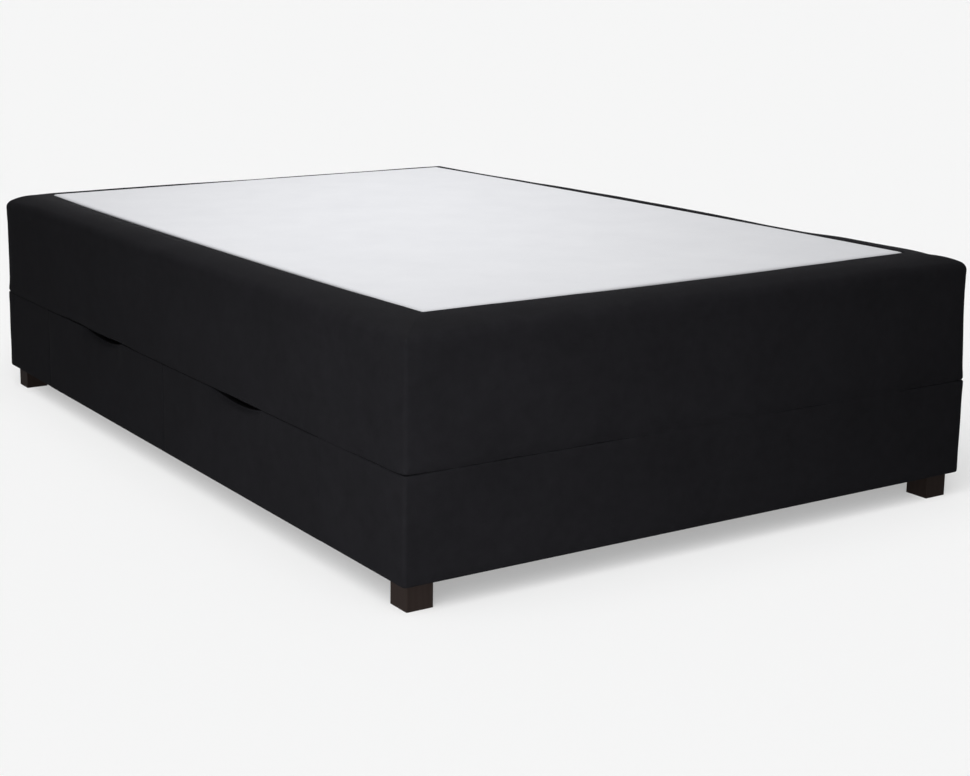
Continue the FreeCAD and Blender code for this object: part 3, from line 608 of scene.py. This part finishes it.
# %% Where the top and the lip stand higher
LIP_RISE = {(-1, 0): 10 * MM, (0, -1): 11 * MM, (1, 0): -0.6 * MM, (0, 1): 1.5 * MM}
LIP_WANDER, LIP_HEIGHT, LIP_FOOT = 2.6 * MM, 0.487, 0.4
TOP_LIFT, RIGHT_LIFT, NEAR_DROP = 5 * MM, 6 * MM, 1.5 * MM
FULLER = {
    (1, 0): [(1.3, -0.8, -0.4), (-0.9, 0.3, 0.45), (3.6, 0.55, 0.7)],
    (0, 1): [(2, 0.0, 0.4)],
}


def step_up(value, low, high):
    """0 below low, 1 above high, and a smooth step between."""
    share = min(1.0, max(0.0, (value - low) / (high - low)))
    return share * share * (3 - 2 * share)


def side_of(place):
    """The outward direction of the nearer side, and the distances to that side and the next."""
    to_x, to_y = HALF_X - abs(place.x), HALF_Y - abs(place.y)
    if to_x < to_y:
        return Vector((math.copysign(1, place.x), 0, 0)), to_x, to_y
    return Vector((0, math.copysign(1, place.y), 0)), to_y, to_x


def top_lift(x, y):
    """How much the top stands higher toward the far right, and lower at the near corner."""
    near = max(0.0, -x / HALF_X) * max(0.0, -y / HALF_Y)
    return TOP_LIFT * ((x / HALF_X + 1) / 2) ** 1.2 - NEAR_DROP * near


def lip_lift(place, out, along):
    """How much the lip stands higher: a bow along each side, and the slow wander."""
    rise = LIP_RISE[out.x, out.y] * (1 - abs(along) ** 5)
    if out.y < 0:
        rise += RIGHT_LIFT * max(0.0, along) ** 2
    flat = Vector((place.x, place.y, 0))
    wander = soft_noise(flat, 4.3, 3.1) + 0.8 * soft_noise(flat, 9, 5.3)
    return rise + LIP_WANDER * wander


def fuller(out, along, inset, next_side):
    """How much more the border stands up on the two far sides, step by step along each."""
    steps = FULLER.get((out.x, out.y), [])
    height = sum(rise * MM * step_up(-along, start, end) for rise, start, end in steps)
    return height * step_up(next_side - inset, 0, 70 * MM) * step_up(BORDER - inset, 0, 30 * MM)


print("lip rises by side, mm:", [round(rise / MM, 1) for rise in LIP_RISE.values()])

# %% [markdown]
# The sides are tight, so they pull in a little just below the lip, most in the middle of each
# side, and elsewhere stand out and in by a millimetre. The far long side leans in toward its
# lip. At the foot of the sides, the seam with the base is pressed shut in some places and
# open in others, and lowest over the drawers.

# %% How the sides lean and where the seam is shut
SIDE_WANDER, SIDE_BAND, SEAM_BAND = 1.2 * MM, 9 * MM, 7 * MM
WAIST, WAIST_HEIGHT = 4.6 * MM, 0.447
WAIST_BELOW, WAIST_ABOVE = 0.055, 0.02
RIGHT_TUCK, TUCK_FOOT, TUCK_TOP = 6.5 * MM, 0.26, 0.47
DRAWER_SAG, SIDE_SAG, CORNER_SAG = 1.5, 0.8, 0.4


def tuck_of(place):
    """How far the far long side is drawn in, more toward the lip."""
    return RIGHT_TUCK * max(0.0, place.x / HALF_X) ** 4 * step_up(place.z, TUCK_FOOT, TUCK_TOP)


def push_of(place):
    """How far the cloth between the seam and the lip is pressed in, by a soft noise."""
    up = min(1.0, max(0.0, (place.z - SEAM_HEIGHT) / (LIP_HEIGHT - SEAM_HEIGHT)))
    side = math.sin(math.pi * up)
    push = SIDE_WANDER * side * (0.7 + soft_noise(place, 3.2, 8.7) + 0.4 * soft_noise(place, 9, 2.9))
    return max(0.0, push)


def waist_of(place, along):
    """How far the cloth is pulled in below the lip."""
    spread = WAIST_BELOW if place.z < WAIST_HEIGHT else WAIST_ABOVE
    waist = WAIST * math.exp(-(((place.z - WAIST_HEIGHT) / spread) ** 2)) * (1 - abs(along) ** 6)
    return waist * (1 - 0.9 * max(0.0, place.x / HALF_X) ** 4)


def seam_shut(place):
    """How far a seam is pressed shut, from 0 to 1, along the bed."""
    flat = Vector((place.x, place.y, 0))
    return min(1.0, max(0.0, 1.05 + soft_noise(flat, 4.6, 9.2) + 0.6 * soft_noise(flat, 17, 1.7)))


print("waist", round(WAIST / MM, 1), "mm, far side leans in", round(RIGHT_TUCK / MM, 1), "mm")

# %% [markdown]
# Now every point of the cover is moved by what these functions say of its place: at the seam,
# on the side or over the lip. The far long side leans in last, with all that hangs on it.

# %% Let the cloth wander
for point in upper_cover.data.vertices:
    place = point.co.copy()
    out, inset, next_side = side_of(place)
    along = place.y / HALF_Y if out.x else place.x / HALF_X
    top = step_up(place.z, LIP_FOOT, LIP_HEIGHT)
    share = top * (1 - max(0.0, inset - LIP_END) / BORDER) ** 2
    if place.z < SEAM_HEIGHT + SEAM_BAND:
        if inset < SEAM_BAND and next_side > 2 * CORNER_RADIUS:
            shut = seam_shut(place)
            point.co += out * inset * shut
            point.co.z -= (DRAWER_SAG if out.x < 0 else SIDE_SAG) * MM * shut
        elif inset < SEAM_BAND:
            point.co.z -= CORNER_SAG * MM
    elif inset < SIDE_BAND:
        point.co -= out * (push_of(place) + waist_of(place, along))
    point.co.z += share * lip_lift(place, out, along) + top * top_lift(place.x, place.y)
    point.co.z += top * fuller(out, along, inset, next_side)
    tuck = tuck_of(place)
    point.co.x -= tuck
    point.co.y += 0.5 * tuck * max(0.0, -place.y / HALF_Y) ** 8
upper_cover.data.update()
print("upper cover reaches", round(max(point.co.z for point in upper_cover.data.vertices), 4))

# %% [markdown]
# Now the simulation can swell it. One level of subdivision then rounds what is left of the
# flat faces, and the cover takes its finish and its place on the bed.

# %% Swell the upper cover
HELD_HEM, HELD_RIM, HELD_WALL, HELD_UNDER = 0.262, 92 * MM, 9.5 * MM, 5 * MM


def held_upper(place):
    """The hem, the seam with the white top and the wall against the boards stay put."""
    inset = min(HALF_X - abs(place.x), HALF_Y - abs(place.y))
    if place.z < HELD_HEM or inset > HELD_RIM:
        return True
    return inset > HELD_WALL and place.z < crown(inset) - HELD_UNDER


swell(upper_cover, held_upper, cap=3 * MM)
apply_modifier(upper_cover, "SUBSURF", levels=1, render_levels=1)
put_on(upper_cover, "bed", upholstery, "black_upholstery", "upper_cover")

# %% [markdown]
# ## The white top
# A sheet of white non-woven lies over the foam, drawn tight and sewn to the black border. A
# flat face would show no seam, so it is a thin pad here: rings rise from a closed bottom,
# roll in over the rim where the seam pulls it down, and a grid fills the last one.

# %% White top
low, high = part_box("top_panel")
PANEL_X, PANEL_Y = HALF_X - BORDER - 0.7 * MM, HALF_Y - BORDER - 0.7 * MM
PANEL_BOTTOM = (1.2, 510.0)
panel_cuts = [
    (0, 511.0), (0, 514.3), (0.4, 515.7), (1.5, 517.0), (3.5, 518.2), (7, 519.2),
    (13, 519.8), (21, 520.0),
]


def panel_ring(inset):
    """The white top's ring at a distance in from its own edge."""
    radius = max(PANEL_CORNER - inset, 1.5 * MM)
    return outline(PANEL_X - inset, PANEL_Y - inset, radius, BOW_LONG, BOW_SHORT)


inset, height = PANEL_BOTTOM
white_top = start_ring("white_top_panel", panel_ring(inset * MM), height * MM)
bpy.ops.mesh.edge_face_add()
bpy.ops.mesh.select_all(action="SELECT")
bpy.ops.mesh.region_to_loop()
for inset, height in panel_cuts:
    grow_ring(white_top, panel_ring(inset * MM), height * MM)
bpy.ops.mesh.fill_grid(span=SHORT_STEPS + CORNER_STEPS, offset=0)
face_outward()
for point in white_top.data.vertices:
    point.co.z += top_lift(point.co.x, point.co.y) * max(0.0, point.co.z - low.z) / (high.z - low.z)
put_on(white_top, "bed", white_cloth, "white_cover_cloth", "top_panel")

# %% [markdown]
# ## The base cover
# The base box wears the same cloth over the same wadding, but one long side is open for the
# drawers. So its rings are open lines: they start beside the first drawer, go round the
# three closed sides and stop beside the second. The cut is a channel round the boards. The
# photograph has this cloth nearly flat, so a soft noise of a millimetre is all it gets.

# %% Base cover
low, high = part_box("base_cover")
BASE_LOW, BASE_HIGH = low.z, high.z
BAY_HALF = 701.25 * MM
BASE_CORNER, BASE_BAND, BASE_WANDER = 8 * MM, 6 * MM, 1.1 * MM


def base_line(inset):
    """An open line round three sides of the base, ending beside the drawers."""
    radius = max(BASE_CORNER - inset, PANEL_CORNER)
    ring = outline(HALF_X - inset, HALF_Y - inset, radius)
    run = 2 * (CORNER_STEPS + 1) + (SHORT_STEPS - 1)
    opening = range(run, run + LONG_STEPS - 1)
    first = next(place for place in opening if ring_of_base[place].y < -BAY_HALF)
    last = next(place for place in reversed(opening) if ring_of_base[place].y > BAY_HALF)
    line = ring[first:] + ring[: last + 1]
    return [Vector((line[0].x, -BAY_HALF))] + line + [Vector((line[-1].x, BAY_HALF))]


ring_of_base = outline(HALF_X, HALF_Y, BASE_CORNER)
base_cuts = [
    (46, 52.1), (7, 52.0), (3.6, 52.3), (1.5, 53.4), (0.4, 55.4), (0, 58), (0, 66), (0.1, 78),
    (0.3, 92), (0.4, 106), (0.3, 120), (0.1, 134), (0, 148), (0, 162), (0.1, 176), (0.3, 190),
    (0.5, 204), (0.5, 218), (0.3, 230), (0.1, 241), (0, 249.5), (0.4, 252.2), (1.3, 253.9),
    (2.9, 254.8), (5, 254.9), (40, 254.9), (40, 252.1), (10.1, 252.1), (10.1, 54.9), (46, 54.9),
]
base_cover = carry_round("upholstered_base_cover", base_line, base_cuts, closed=False)
for point in base_cover.data.vertices:
    place = point.co
    out, inset, next_side = side_of(place)
    if inset < BASE_BAND and out.x >= 0 and next_side > 2 * BASE_CORNER:
        room = math.sin(math.pi * (place.z - BASE_LOW) / (BASE_HIGH - BASE_LOW))
        push = BASE_WANDER * room * (0.7 + soft_noise(place, 3.4, 6.1))
        if place.z > BASE_HIGH - SEAM_BAND:
            push = -max(0.0, inset - 0.1 * MM) * seam_shut(place)
        point.co -= out * push
base_cover.data.update()

# %% [markdown]
# The cloth also turns round the end of each short board beside the drawers. Two thin wraps,
# boxes at their own size with rounded edges, are joined to the cover.


# %% End wraps
def soft_box(name, low, high, edge):
    """A cube primitive at its size and place, with rounded edges."""
    bpy.ops.mesh.primitive_cube_add(size=1, location=(Vector(low) + Vector(high)) / 2)
    piece = newest(name, Vector(high) - Vector(low))
    bpy.ops.object.mode_set(mode="EDIT")
    bpy.ops.mesh.select_all(action="SELECT")
    bpy.ops.mesh.bevel(offset=edge, segments=2, affect="EDGES")
    bpy.ops.object.mode_set(mode="OBJECT")
    bpy.ops.object.shade_smooth_by_angle(angle=math.radians(40))
    return piece


def join_into(target, parts):
    """Makes one object of several."""
    bpy.ops.object.select_all(action="DESELECT")
    for part in parts:
        part.select_set(True)
    target.select_set(True)
    bpy.context.view_layer.objects.active = target
    bpy.ops.object.join()


WRAP_END = 704.2 * MM
WRAP_FRONT, WRAP_BACK, WRAP_LOW, WRAP_HIGH = -690 * MM, -672 * MM, 55.2 * MM, 251.9 * MM
wraps = []
for side in (-1, 1):
    ends = sorted((side * BAY_HALF, side * WRAP_END))
    first, last = (WRAP_FRONT, ends[0], WRAP_LOW), (WRAP_BACK, ends[1], WRAP_HIGH)
    wraps.append(soft_box("wrap", first, last, 1.2 * MM))
join_into(base_cover, wraps)
bpy.ops.object.shade_smooth_by_angle(angle=math.radians(55))
put_on(base_cover, "bed", upholstery, "black_upholstery", "base_cover")

# %% [markdown]
# ## The drawer fronts
# Each drawer front is a board in the same wadding and cloth, with a shallow scoop cut from
# its top edge for the fingers. Cutting the scoop with a Boolean would leave a sharp edge that
# cloth can't have. Instead a grid stands in the plane of the front, its upper part is pressed
# down along an arc, and then its rim is extruded back round the board and turned in. Each cut
# below says how far back a rim lies, and how far in from the sides and from top and bottom.

# %% Drawer fronts
SCOOP_HALF, SCOOP_DEPTH = 116 * MM, 16 * MM
SCOOP_RADIUS = (SCOOP_HALF**2 + SCOOP_DEPTH**2) / (2 * SCOOP_DEPTH)
SCOOP_ROUND, SCOOP_FADE = 12 * MM, 14 * MM
OUTER_ROOM, MIDDLE_ROOM, TOP_ROOM = 2 * MM, 0.9 * MM, 1.4 * MM
FRONT_CUTS = [
    (0, 1.5, 3.2), (0.5, 0.6, 1.8), (1.5, 0.2, 0.8), (3.2, 0, 0.2), (5.5, 0, 0), (14, 0, 0), (27, 0, 0),
    (29.4, 1.2, 1.2), (30, 3, 3), (30, 18, 18), (28.2, 18, 18), (28.2, 6.3, 6.3), (10.2, 6.3, 6.3),
]
FRONT_COLUMNS, FRONT_ROWS, ROWS_UPWARD = 120, 26, 1.8
FRONT_BACK, FRONT_WANDER, FRONT_EDGE, HELD_FRONT = 27 * MM, 1.2 * MM, 30 * MM, 6 * MM


def scoop(offset):
    """How far the top edge is cut down at a distance from the middle of the front."""
    if abs(offset) >= SCOOP_HALF:
        return 0.0
    return math.sqrt(SCOOP_RADIUS**2 - offset**2) - (SCOOP_RADIUS - SCOOP_DEPTH)


def drawer_front(name, node):
    """A padded drawer front in the box of its CAD part."""
    low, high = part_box(node)
    outer_is_low = low.y + high.y < 0
    low.y -= OUTER_ROOM if outer_is_low else MIDDLE_ROOM
    high.y += MIDDLE_ROOM if outer_is_low else OUTER_ROOM
    high.z += TOP_ROOM
    middle, half = (low + high) / 2, (high - low) / 2
    rim = Vector(FRONT_CUTS[0]) * MM

    def pushed(offset, below):
        """How far the cloth lies back beside the scoop, below its edge."""
        return SCOOP_ROUND * (scoop(offset) / SCOOP_DEPTH) ** 0.6 * math.exp(-below / SCOOP_FADE)

    def held_front(place):
        """The rim of the front and all that is turned back stay put."""
        above = high.z - scoop(place.y - middle.y) - place.z
        edge = min(place.y - low.y, high.y - place.y, place.z - low.z, above)
        return place.x > low.x + HELD_FRONT or edge < HELD_FRONT

    bpy.ops.mesh.primitive_grid_add(x_subdivisions=FRONT_ROWS, y_subdivisions=FRONT_COLUMNS, size=1)
    piece = newest(name)
    bpy.ops.object.mode_set(mode="EDIT")
    bpy.ops.mesh.select_all(action="SELECT")
    wide, tall, bottom = 2 * (half.y - rim.y), 2 * (half.z - rim.z), low.z + rim.z
    bpy.ops.transform.rotate(value=math.pi / 2, orient_axis="Y", center_override=(0, 0, 0))
    bpy.ops.transform.resize(value=(1, wide, tall), center_override=(0, 0, 0))
    bpy.ops.transform.translate(value=(low.x, middle.y, middle.z))
    net = bmesh.from_edit_mesh(piece.data)
    for point in net.verts:
        place = point.co
        up = 1 - (1 - min(1.0, max(0.0, (place.z - bottom) / tall))) ** ROWS_UPWARD
        offset = place.y - middle.y
        below = (1 - up) * tall
        place.z = bottom + up * tall - scoop(offset) * max(0.0, 2 * up - 1)
        edge = min(1.0, min(place.y - low.y, high.y - place.y, place.z - low.z) / FRONT_EDGE)
        dent = FRONT_WANDER * edge * max(0.0, 0.5 + soft_noise(place, 4.2, 7.7))
        place.x += pushed(offset, below) + dent
    bmesh.update_edit_mesh(piece.data)
    bpy.ops.mesh.region_to_loop()
    now = rim
    for cut in (Vector(cut) * MM for cut in FRONT_CUTS[1:]):
        bpy.ops.mesh.extrude_edges_move()
        size = (1, (half.y - cut.y) / (half.y - now.y), (half.z - cut.z) / (half.z - now.z))
        bpy.ops.transform.resize(value=size, center_override=middle)
        net = bmesh.from_edit_mesh(piece.data)
        for point in (point for point in net.verts if point.select):
            upper = point.co.z > middle.z + 0.5 * half.z
            lies_back = pushed(point.co.y - middle.y, 0.0) if upper else 0.0
            point.co.x = low.x + cut.x + lies_back * max(0.0, 1 - cut.x / FRONT_BACK)
        bmesh.update_edit_mesh(piece.data)
        now = cut
    bpy.ops.mesh.edge_face_add()
    face_outward()
    swell(piece, held_front, cap=2.5 * MM)
    return piece


for number in (1, 2):
    front = drawer_front(f"upholstered_drawer_front_{number}", f"drawer_{number}_front_cover")
    put_on(front, f"drawer_{number}", upholstery, "black_upholstery", f"drawer_{number}_front_cover")

# %% [markdown]
# Behind each finger gap runs a rail. A strip of the black lining is stapled along its face and
# hangs down to just above the drawer. It is painted shade: a dark sheet that stands in for the
# shadow inside the gap and leaves the gap dark.

# %% Painted shade behind the finger gaps
low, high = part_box("base_top_rails")
FLAP_LOW, FLAP_HIGH = 219 * MM, high.z + 1 * MM
FLAP_FRONT, FLAP_BACK = low.x - 0.9 * MM, low.x - 0.1 * MM
FLAP_START, FLAP_END = 12 * MM, high.y - 3 * MM
for number, side in ((1, -1), (2, 1)):
    ends = sorted((side * FLAP_START, side * FLAP_END))
    first, last = (FLAP_FRONT, ends[0], FLAP_LOW), (FLAP_BACK, ends[1], FLAP_HIGH)
    # A black sheet as painted shade: it darkens the finger gap, where there would only be shadow.
    shade_flap = soft_box(f"finger_gap_shade_sheet_{number}", first, last, 0.3 * MM)
    put_on(shade_flap, "bed", lining, "black_dust_cloth")

# %% [markdown]
# ## Inside the upper box
# Under the white top lie a sheet of comfort foam, a felt, and a block of pocket springs in a
# collar of firm foam. Nobody sees them in the picture, but a bed without them is a box. The
# wire inside a pocket never shows, so one pocket is modelled as a barrel of cloth with soft
# ends, and two Array modifiers repeat it. Each has few faces, because there are 384.

# %% Springs
low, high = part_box("spring_core")
POCKET_ROWS, POCKET_COLUMNS = 16, 24
POCKET_GAP, POCKET_SHORT, POCKET_ROUND = 0.6 * MM, 2 * MM, 9 * MM
pitch_x, pitch_y = (high.x - low.x) / POCKET_ROWS, (high.y - low.y) / POCKET_COLUMNS
pocket_half = min(pitch_x, pitch_y) / 2 - POCKET_GAP
bpy.ops.mesh.primitive_cylinder_add(
    vertices=10, radius=pocket_half, depth=high.z - low.z - POCKET_SHORT,
    location=(low.x + pitch_x / 2, low.y + pitch_y / 2, (low.z + high.z) / 2),
)
springs = newest("pocket_springs")
bpy.ops.object.mode_set(mode="EDIT")
bpy.ops.mesh.select_all(action="SELECT")
bpy.ops.mesh.bevel(offset=POCKET_ROUND, segments=2, affect="EDGES", clamp_overlap=True)
bpy.ops.object.mode_set(mode="OBJECT")
bpy.ops.object.shade_smooth()
for count, step in ((POCKET_ROWS, (pitch_x, 0, 0)), (POCKET_COLUMNS, (0, pitch_y, 0))):
    apply_modifier(springs, "ARRAY", count=count, use_relative_offset=False,
                   use_constant_offset=True, constant_offset_displace=step)
put_on(springs, "bed", pocket_cloth, "pocket_cloth", "spring_core")

# %% [markdown]
# The felt and the comfort foam are sheets cut to the size of the spring block. The collar is
# a ring of foam round it, made as the covers are, and its top follows the border above.

# %% Felt and foams
for node, edge, finish, slot in (
    ("spring_felt", 0.8 * MM, felt, "grey_felt"), ("comfort_foam", 3 * MM, foam, "foam"),
):
    layer = soft_box(f"{node}_sheet", *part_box(node), edge)
    put_on(layer, "bed", finish, slot, node)

COLLAR_DEPTH = 13
collar_cuts = [(13.5, 368.2), (13.5, 466), (16, 477), (21, 484)]
collar_cuts += [(inset, crown(inset * MM) / MM - COLLAR_DEPTH) for inset in (32, 50, 70, 84)]
collar_cuts += [(100, 507), (100, 482), (100, 368.2)]


def collar_ring(inset):
    """The foam collar's ring at a distance in from the outside of the bed."""
    return outline(HALF_X - inset, HALF_Y - inset, max(CORNER_RADIUS - inset, 4 * MM))


collar = carry_round("edge_foam_collar", collar_ring, collar_cuts)
for point in collar.data.vertices:
    point.co.x -= tuck_of(point.co)
put_on(collar, "bed", foam, "foam", "edge_foam")

# %% [markdown]
# ## Lining cloths
# A thin black cloth closes the underside of each box and keeps dust out. It is stapled all
# round and sags a little between the rails. A simulation would find the same shallow curve,
# so the sag is written down. The lower cloth is cut away at the feet.


# %% Lining cloths
FOOT_PLACE, NOTCH_SIDE, CLOTH_THICK = (622 * MM, 922 * MM), 0.038, 0.4 * MM


def lining_sheet(name, node, sag, notch=None):
    """A thin grid of cloth the size of its CAD part, sagging between its edges."""
    low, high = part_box(node)
    middle = (low + high) / 2
    bpy.ops.mesh.primitive_grid_add(x_subdivisions=44, y_subdivisions=64, size=1, location=middle)
    piece = newest(name, (high.x - low.x, high.y - low.y, 1))
    half_x, half_y = (high.x - low.x) / 2, (high.y - low.y) / 2
    if notch:
        bpy.ops.object.mode_set(mode="EDIT")
        bpy.ops.mesh.select_all(action="DESELECT")
        net = bmesh.from_edit_mesh(piece.data)
        for face in net.faces:
            at = face.calc_center_median()
            face.select = abs(at.x) > notch[0] and abs(at.y) > notch[1]
        bpy.ops.mesh.delete(type="FACE")
        bpy.ops.object.mode_set(mode="OBJECT")
    for point in piece.data.vertices:
        across, along = point.co.x / half_x, point.co.y / half_y
        room = (1 - across**2) * (1 - along**2)
        point.co.z += -sag * room + 0.15 * MM * soft_noise(point.co, 14, 2.0)
    apply_modifier(piece, "SOLIDIFY", thickness=CLOTH_THICK, offset=0)
    bpy.ops.object.shade_smooth_by_angle(angle=math.radians(50))
    return piece, (high.x - low.x, high.y - low.y)


base_lining, cut = lining_sheet("base_lining_cloth", "base_dust_cloth", 6 * MM, FOOT_PLACE)
put_on(base_lining, "bed", lining, "black_dust_cloth", "base_dust_cloth")
upper_lining, cut = lining_sheet("upper_lining_cloth", "upper_dust_cloth", 0.5 * MM)
put_on(upper_lining, "bed", lining, "black_dust_cloth", "upper_dust_cloth")

# %% [markdown]
# ## Floor
# The photograph has an even pale floor with a soft shadow close to the bed. The plane's own
# colour gives that tone where the camera or a reflection sees it. What it throws back on to
# the cloth is less, as if the bed stood alone in a deep studio, and a Light Path node can
# tell the two apart. The world behind the plane has its tone, so no wall is needed.

# %% Floor
FLOOR_COLOUR = (0.9216, 0.9216, 0.9216)
FLOOR_BOUNCE = (0.12, 0.12, 0.12)
FLOOR_SIZE = 300


def seen_rays(wire):
    """1 where the camera, a reflection or clear plastic looks, and 0 for light that bounces."""
    path = wire.node("ShaderNodeLightPath")
    seen = path
    for ray in ("Is Glossy Ray", "Is Transmission Ray"):
        seen = seen.sum("MAXIMUM", seen, Wire(wire.tree, path.socket.node.outputs[ray]))
    return seen


bpy.ops.mesh.primitive_plane_add(size=FLOOR_SIZE)
floor = newest("studio_floor")
floor_finish, wire = new_finish("studio_floor")
settle(floor_finish, Base_Color=blend_colours(wire, seen_rays(wire), FLOOR_BOUNCE, FLOOR_COLOUR),
       Roughness=1.0, Specular_IOR_Level=0.0)
coat(floor, floor_finish)

# %% [markdown]
# ## World and lamps
# A weak white world fills everything a little. Three wide distant lamps light the floor
# alone: one ignores the bed, so the shadow stays pale, and two lean in from the camera's side
# and are stopped by it, so the shadow is short in front and longer behind. The bed has a wide
# lamp overhead and a long strip above it, which leaves the left and right corners of the white
# top a little darker. Five round lamps on the camera's side lift the black cloth most at the
# nearest corner, and two at the back show the far sides. Those seven shine on the black pieces
# alone. Light linking keeps the lamps of the bed off the floor, and no lamp shows in the
# picture itself. In the table, a lamp has its power in watts, its place and where it looks.

# %% World and lamps
WORLD_LEVEL = 0.06
LOW_SHARE, WIDE_SHARE, OVERHEAD_SHARE = 0.23, 0.27, 0.352
world = bpy.data.worlds.new("studio")
bpy.context.scene.world = world
world.use_nodes = True
room = Wire(world.node_tree)
ambient = room.node("ShaderNodeBackground", inputs={"Color": (1, 1, 1, 1), "Strength": WORLD_LEVEL})
backdrop = room.node("ShaderNodeBackground", inputs={"Color": (*FLOOR_COLOUR, 1), "Strength": 1.0})
both = room.node("ShaderNodeMixShader", inputs={0: seen_rays(room), 1: ambient, 2: backdrop})
room.tree.links.new(both.socket, world.node_tree.nodes["World Output"].inputs["Surface"])

off_floor = bpy.data.collections.new("all_but_the_floor")
off_floor.objects.link(floor)
off_floor.collection_objects[0].light_linking.link_state = "EXCLUDE"
only_floor = bpy.data.collections.new("the_floor_alone")
only_floor.objects.link(floor)
only_black = bpy.data.collections.new("the_black_pieces_alone")
fronts = [bpy.data.objects[f"upholstered_drawer_front_{number}"] for number in (1, 2)]
for piece in (upper_cover, base_cover, *fronts, *(nodes[name] for name in CAD_FINISHES[foot_wood])):
    only_black.objects.link(piece)


def lamp(name, kind, energy, place, aim, receivers, blockers=None, colour=(1, 1, 1), **settings):
    """A lamp at a place, shining toward a point, that lights only its receivers."""
    light = bpy.data.lights.new(name, kind)
    light.energy, light.color = energy, colour
    for setting, value in settings.items():
        setattr(light, setting, value)
    placed = bpy.data.objects.new(name, light)
    placed.location = place
    placed.rotation_euler = (Vector(aim) - Vector(place)).to_track_quat("-Z", "Y").to_euler()
    placed.visible_camera = False
    placed.light_linking.receiver_collection = receivers
    placed.light_linking.blocker_collection = blockers
    bpy.context.scene.collection.objects.link(placed)
    return placed


for name, share, lean, disc, blockers in (
    ("flat_floor_lamp", 1 - WORLD_LEVEL - (LOW_SHARE + WIDE_SHARE), (0, 0, 1), 52, only_floor),
    ("low_shadow_lamp", LOW_SHARE, (-1.0, -0.8, 1), 60, None),
    ("wide_shadow_lamp", WIDE_SHARE, (-0.7, -0.6, 1), 90, None),
):
    lean = Vector(lean)
    lamp(name, "SUN", math.pi * share * lean.length, lean, (0, 0, 0), only_floor, blockers,
         angle=math.radians(disc))
lamp("overhead_lamp", "SUN", math.pi * OVERHEAD_SHARE, (0, 0, 3), (0, 0, 0), off_floor,
     angle=math.radians(52))
strip = lamp("strip_lamp", "AREA", 26.2, (-0.03, 0.2, 2.1), (-0.03, 0.2, 0), off_floor,
             shape="RECTANGLE", size=0.6, size_y=4.0)
strip.rotation_euler.z = math.atan2(HALF_Y, HALF_X) - math.pi / 2
COOL = (0.97, 0.966, 1.0)
for name, energy, place, aim in (
    ("left_lamp", 3.5, (-3.2, -1.0, 0.7), (-0.7, -0.5, 0.3)),
    ("low_left_lamp", 21.6, (-2.4, -0.8, 0.2), (-0.7, -0.6, 0.3)),
    ("low_right_lamp", 14, (-0.5, -2.6, 0.2), (-0.3, -1.0, 0.3)),
    ("border_lamp", 2.8, (-0.5, -1.9, 1.2), (-0.3, -0.95, 0.5)),
    ("corner_lamp", 11.1, (-1.5, -1.9, 0.2), (-0.7, -1.0, 0.25)),
    ("back_lamp", 16, (2.8, 0.4, 0.5), (0.7, 0.2, 0.3)),
    ("back_end_lamp", 16, (0.3, 3.0, 0.5), (0.2, 1.0, 0.3)),
):
    lamp(name, "AREA", energy, place, aim, only_black, colour=COOL, shape="DISK", size=0.9)

# %% [markdown]
# ## The last settings
# Standard leaves each colour as it was written. Cloth may stand a few millimetres past the box
# of the CAD parts.

# %% Picture settings
bpy.context.scene.view_settings.view_transform = "Standard"
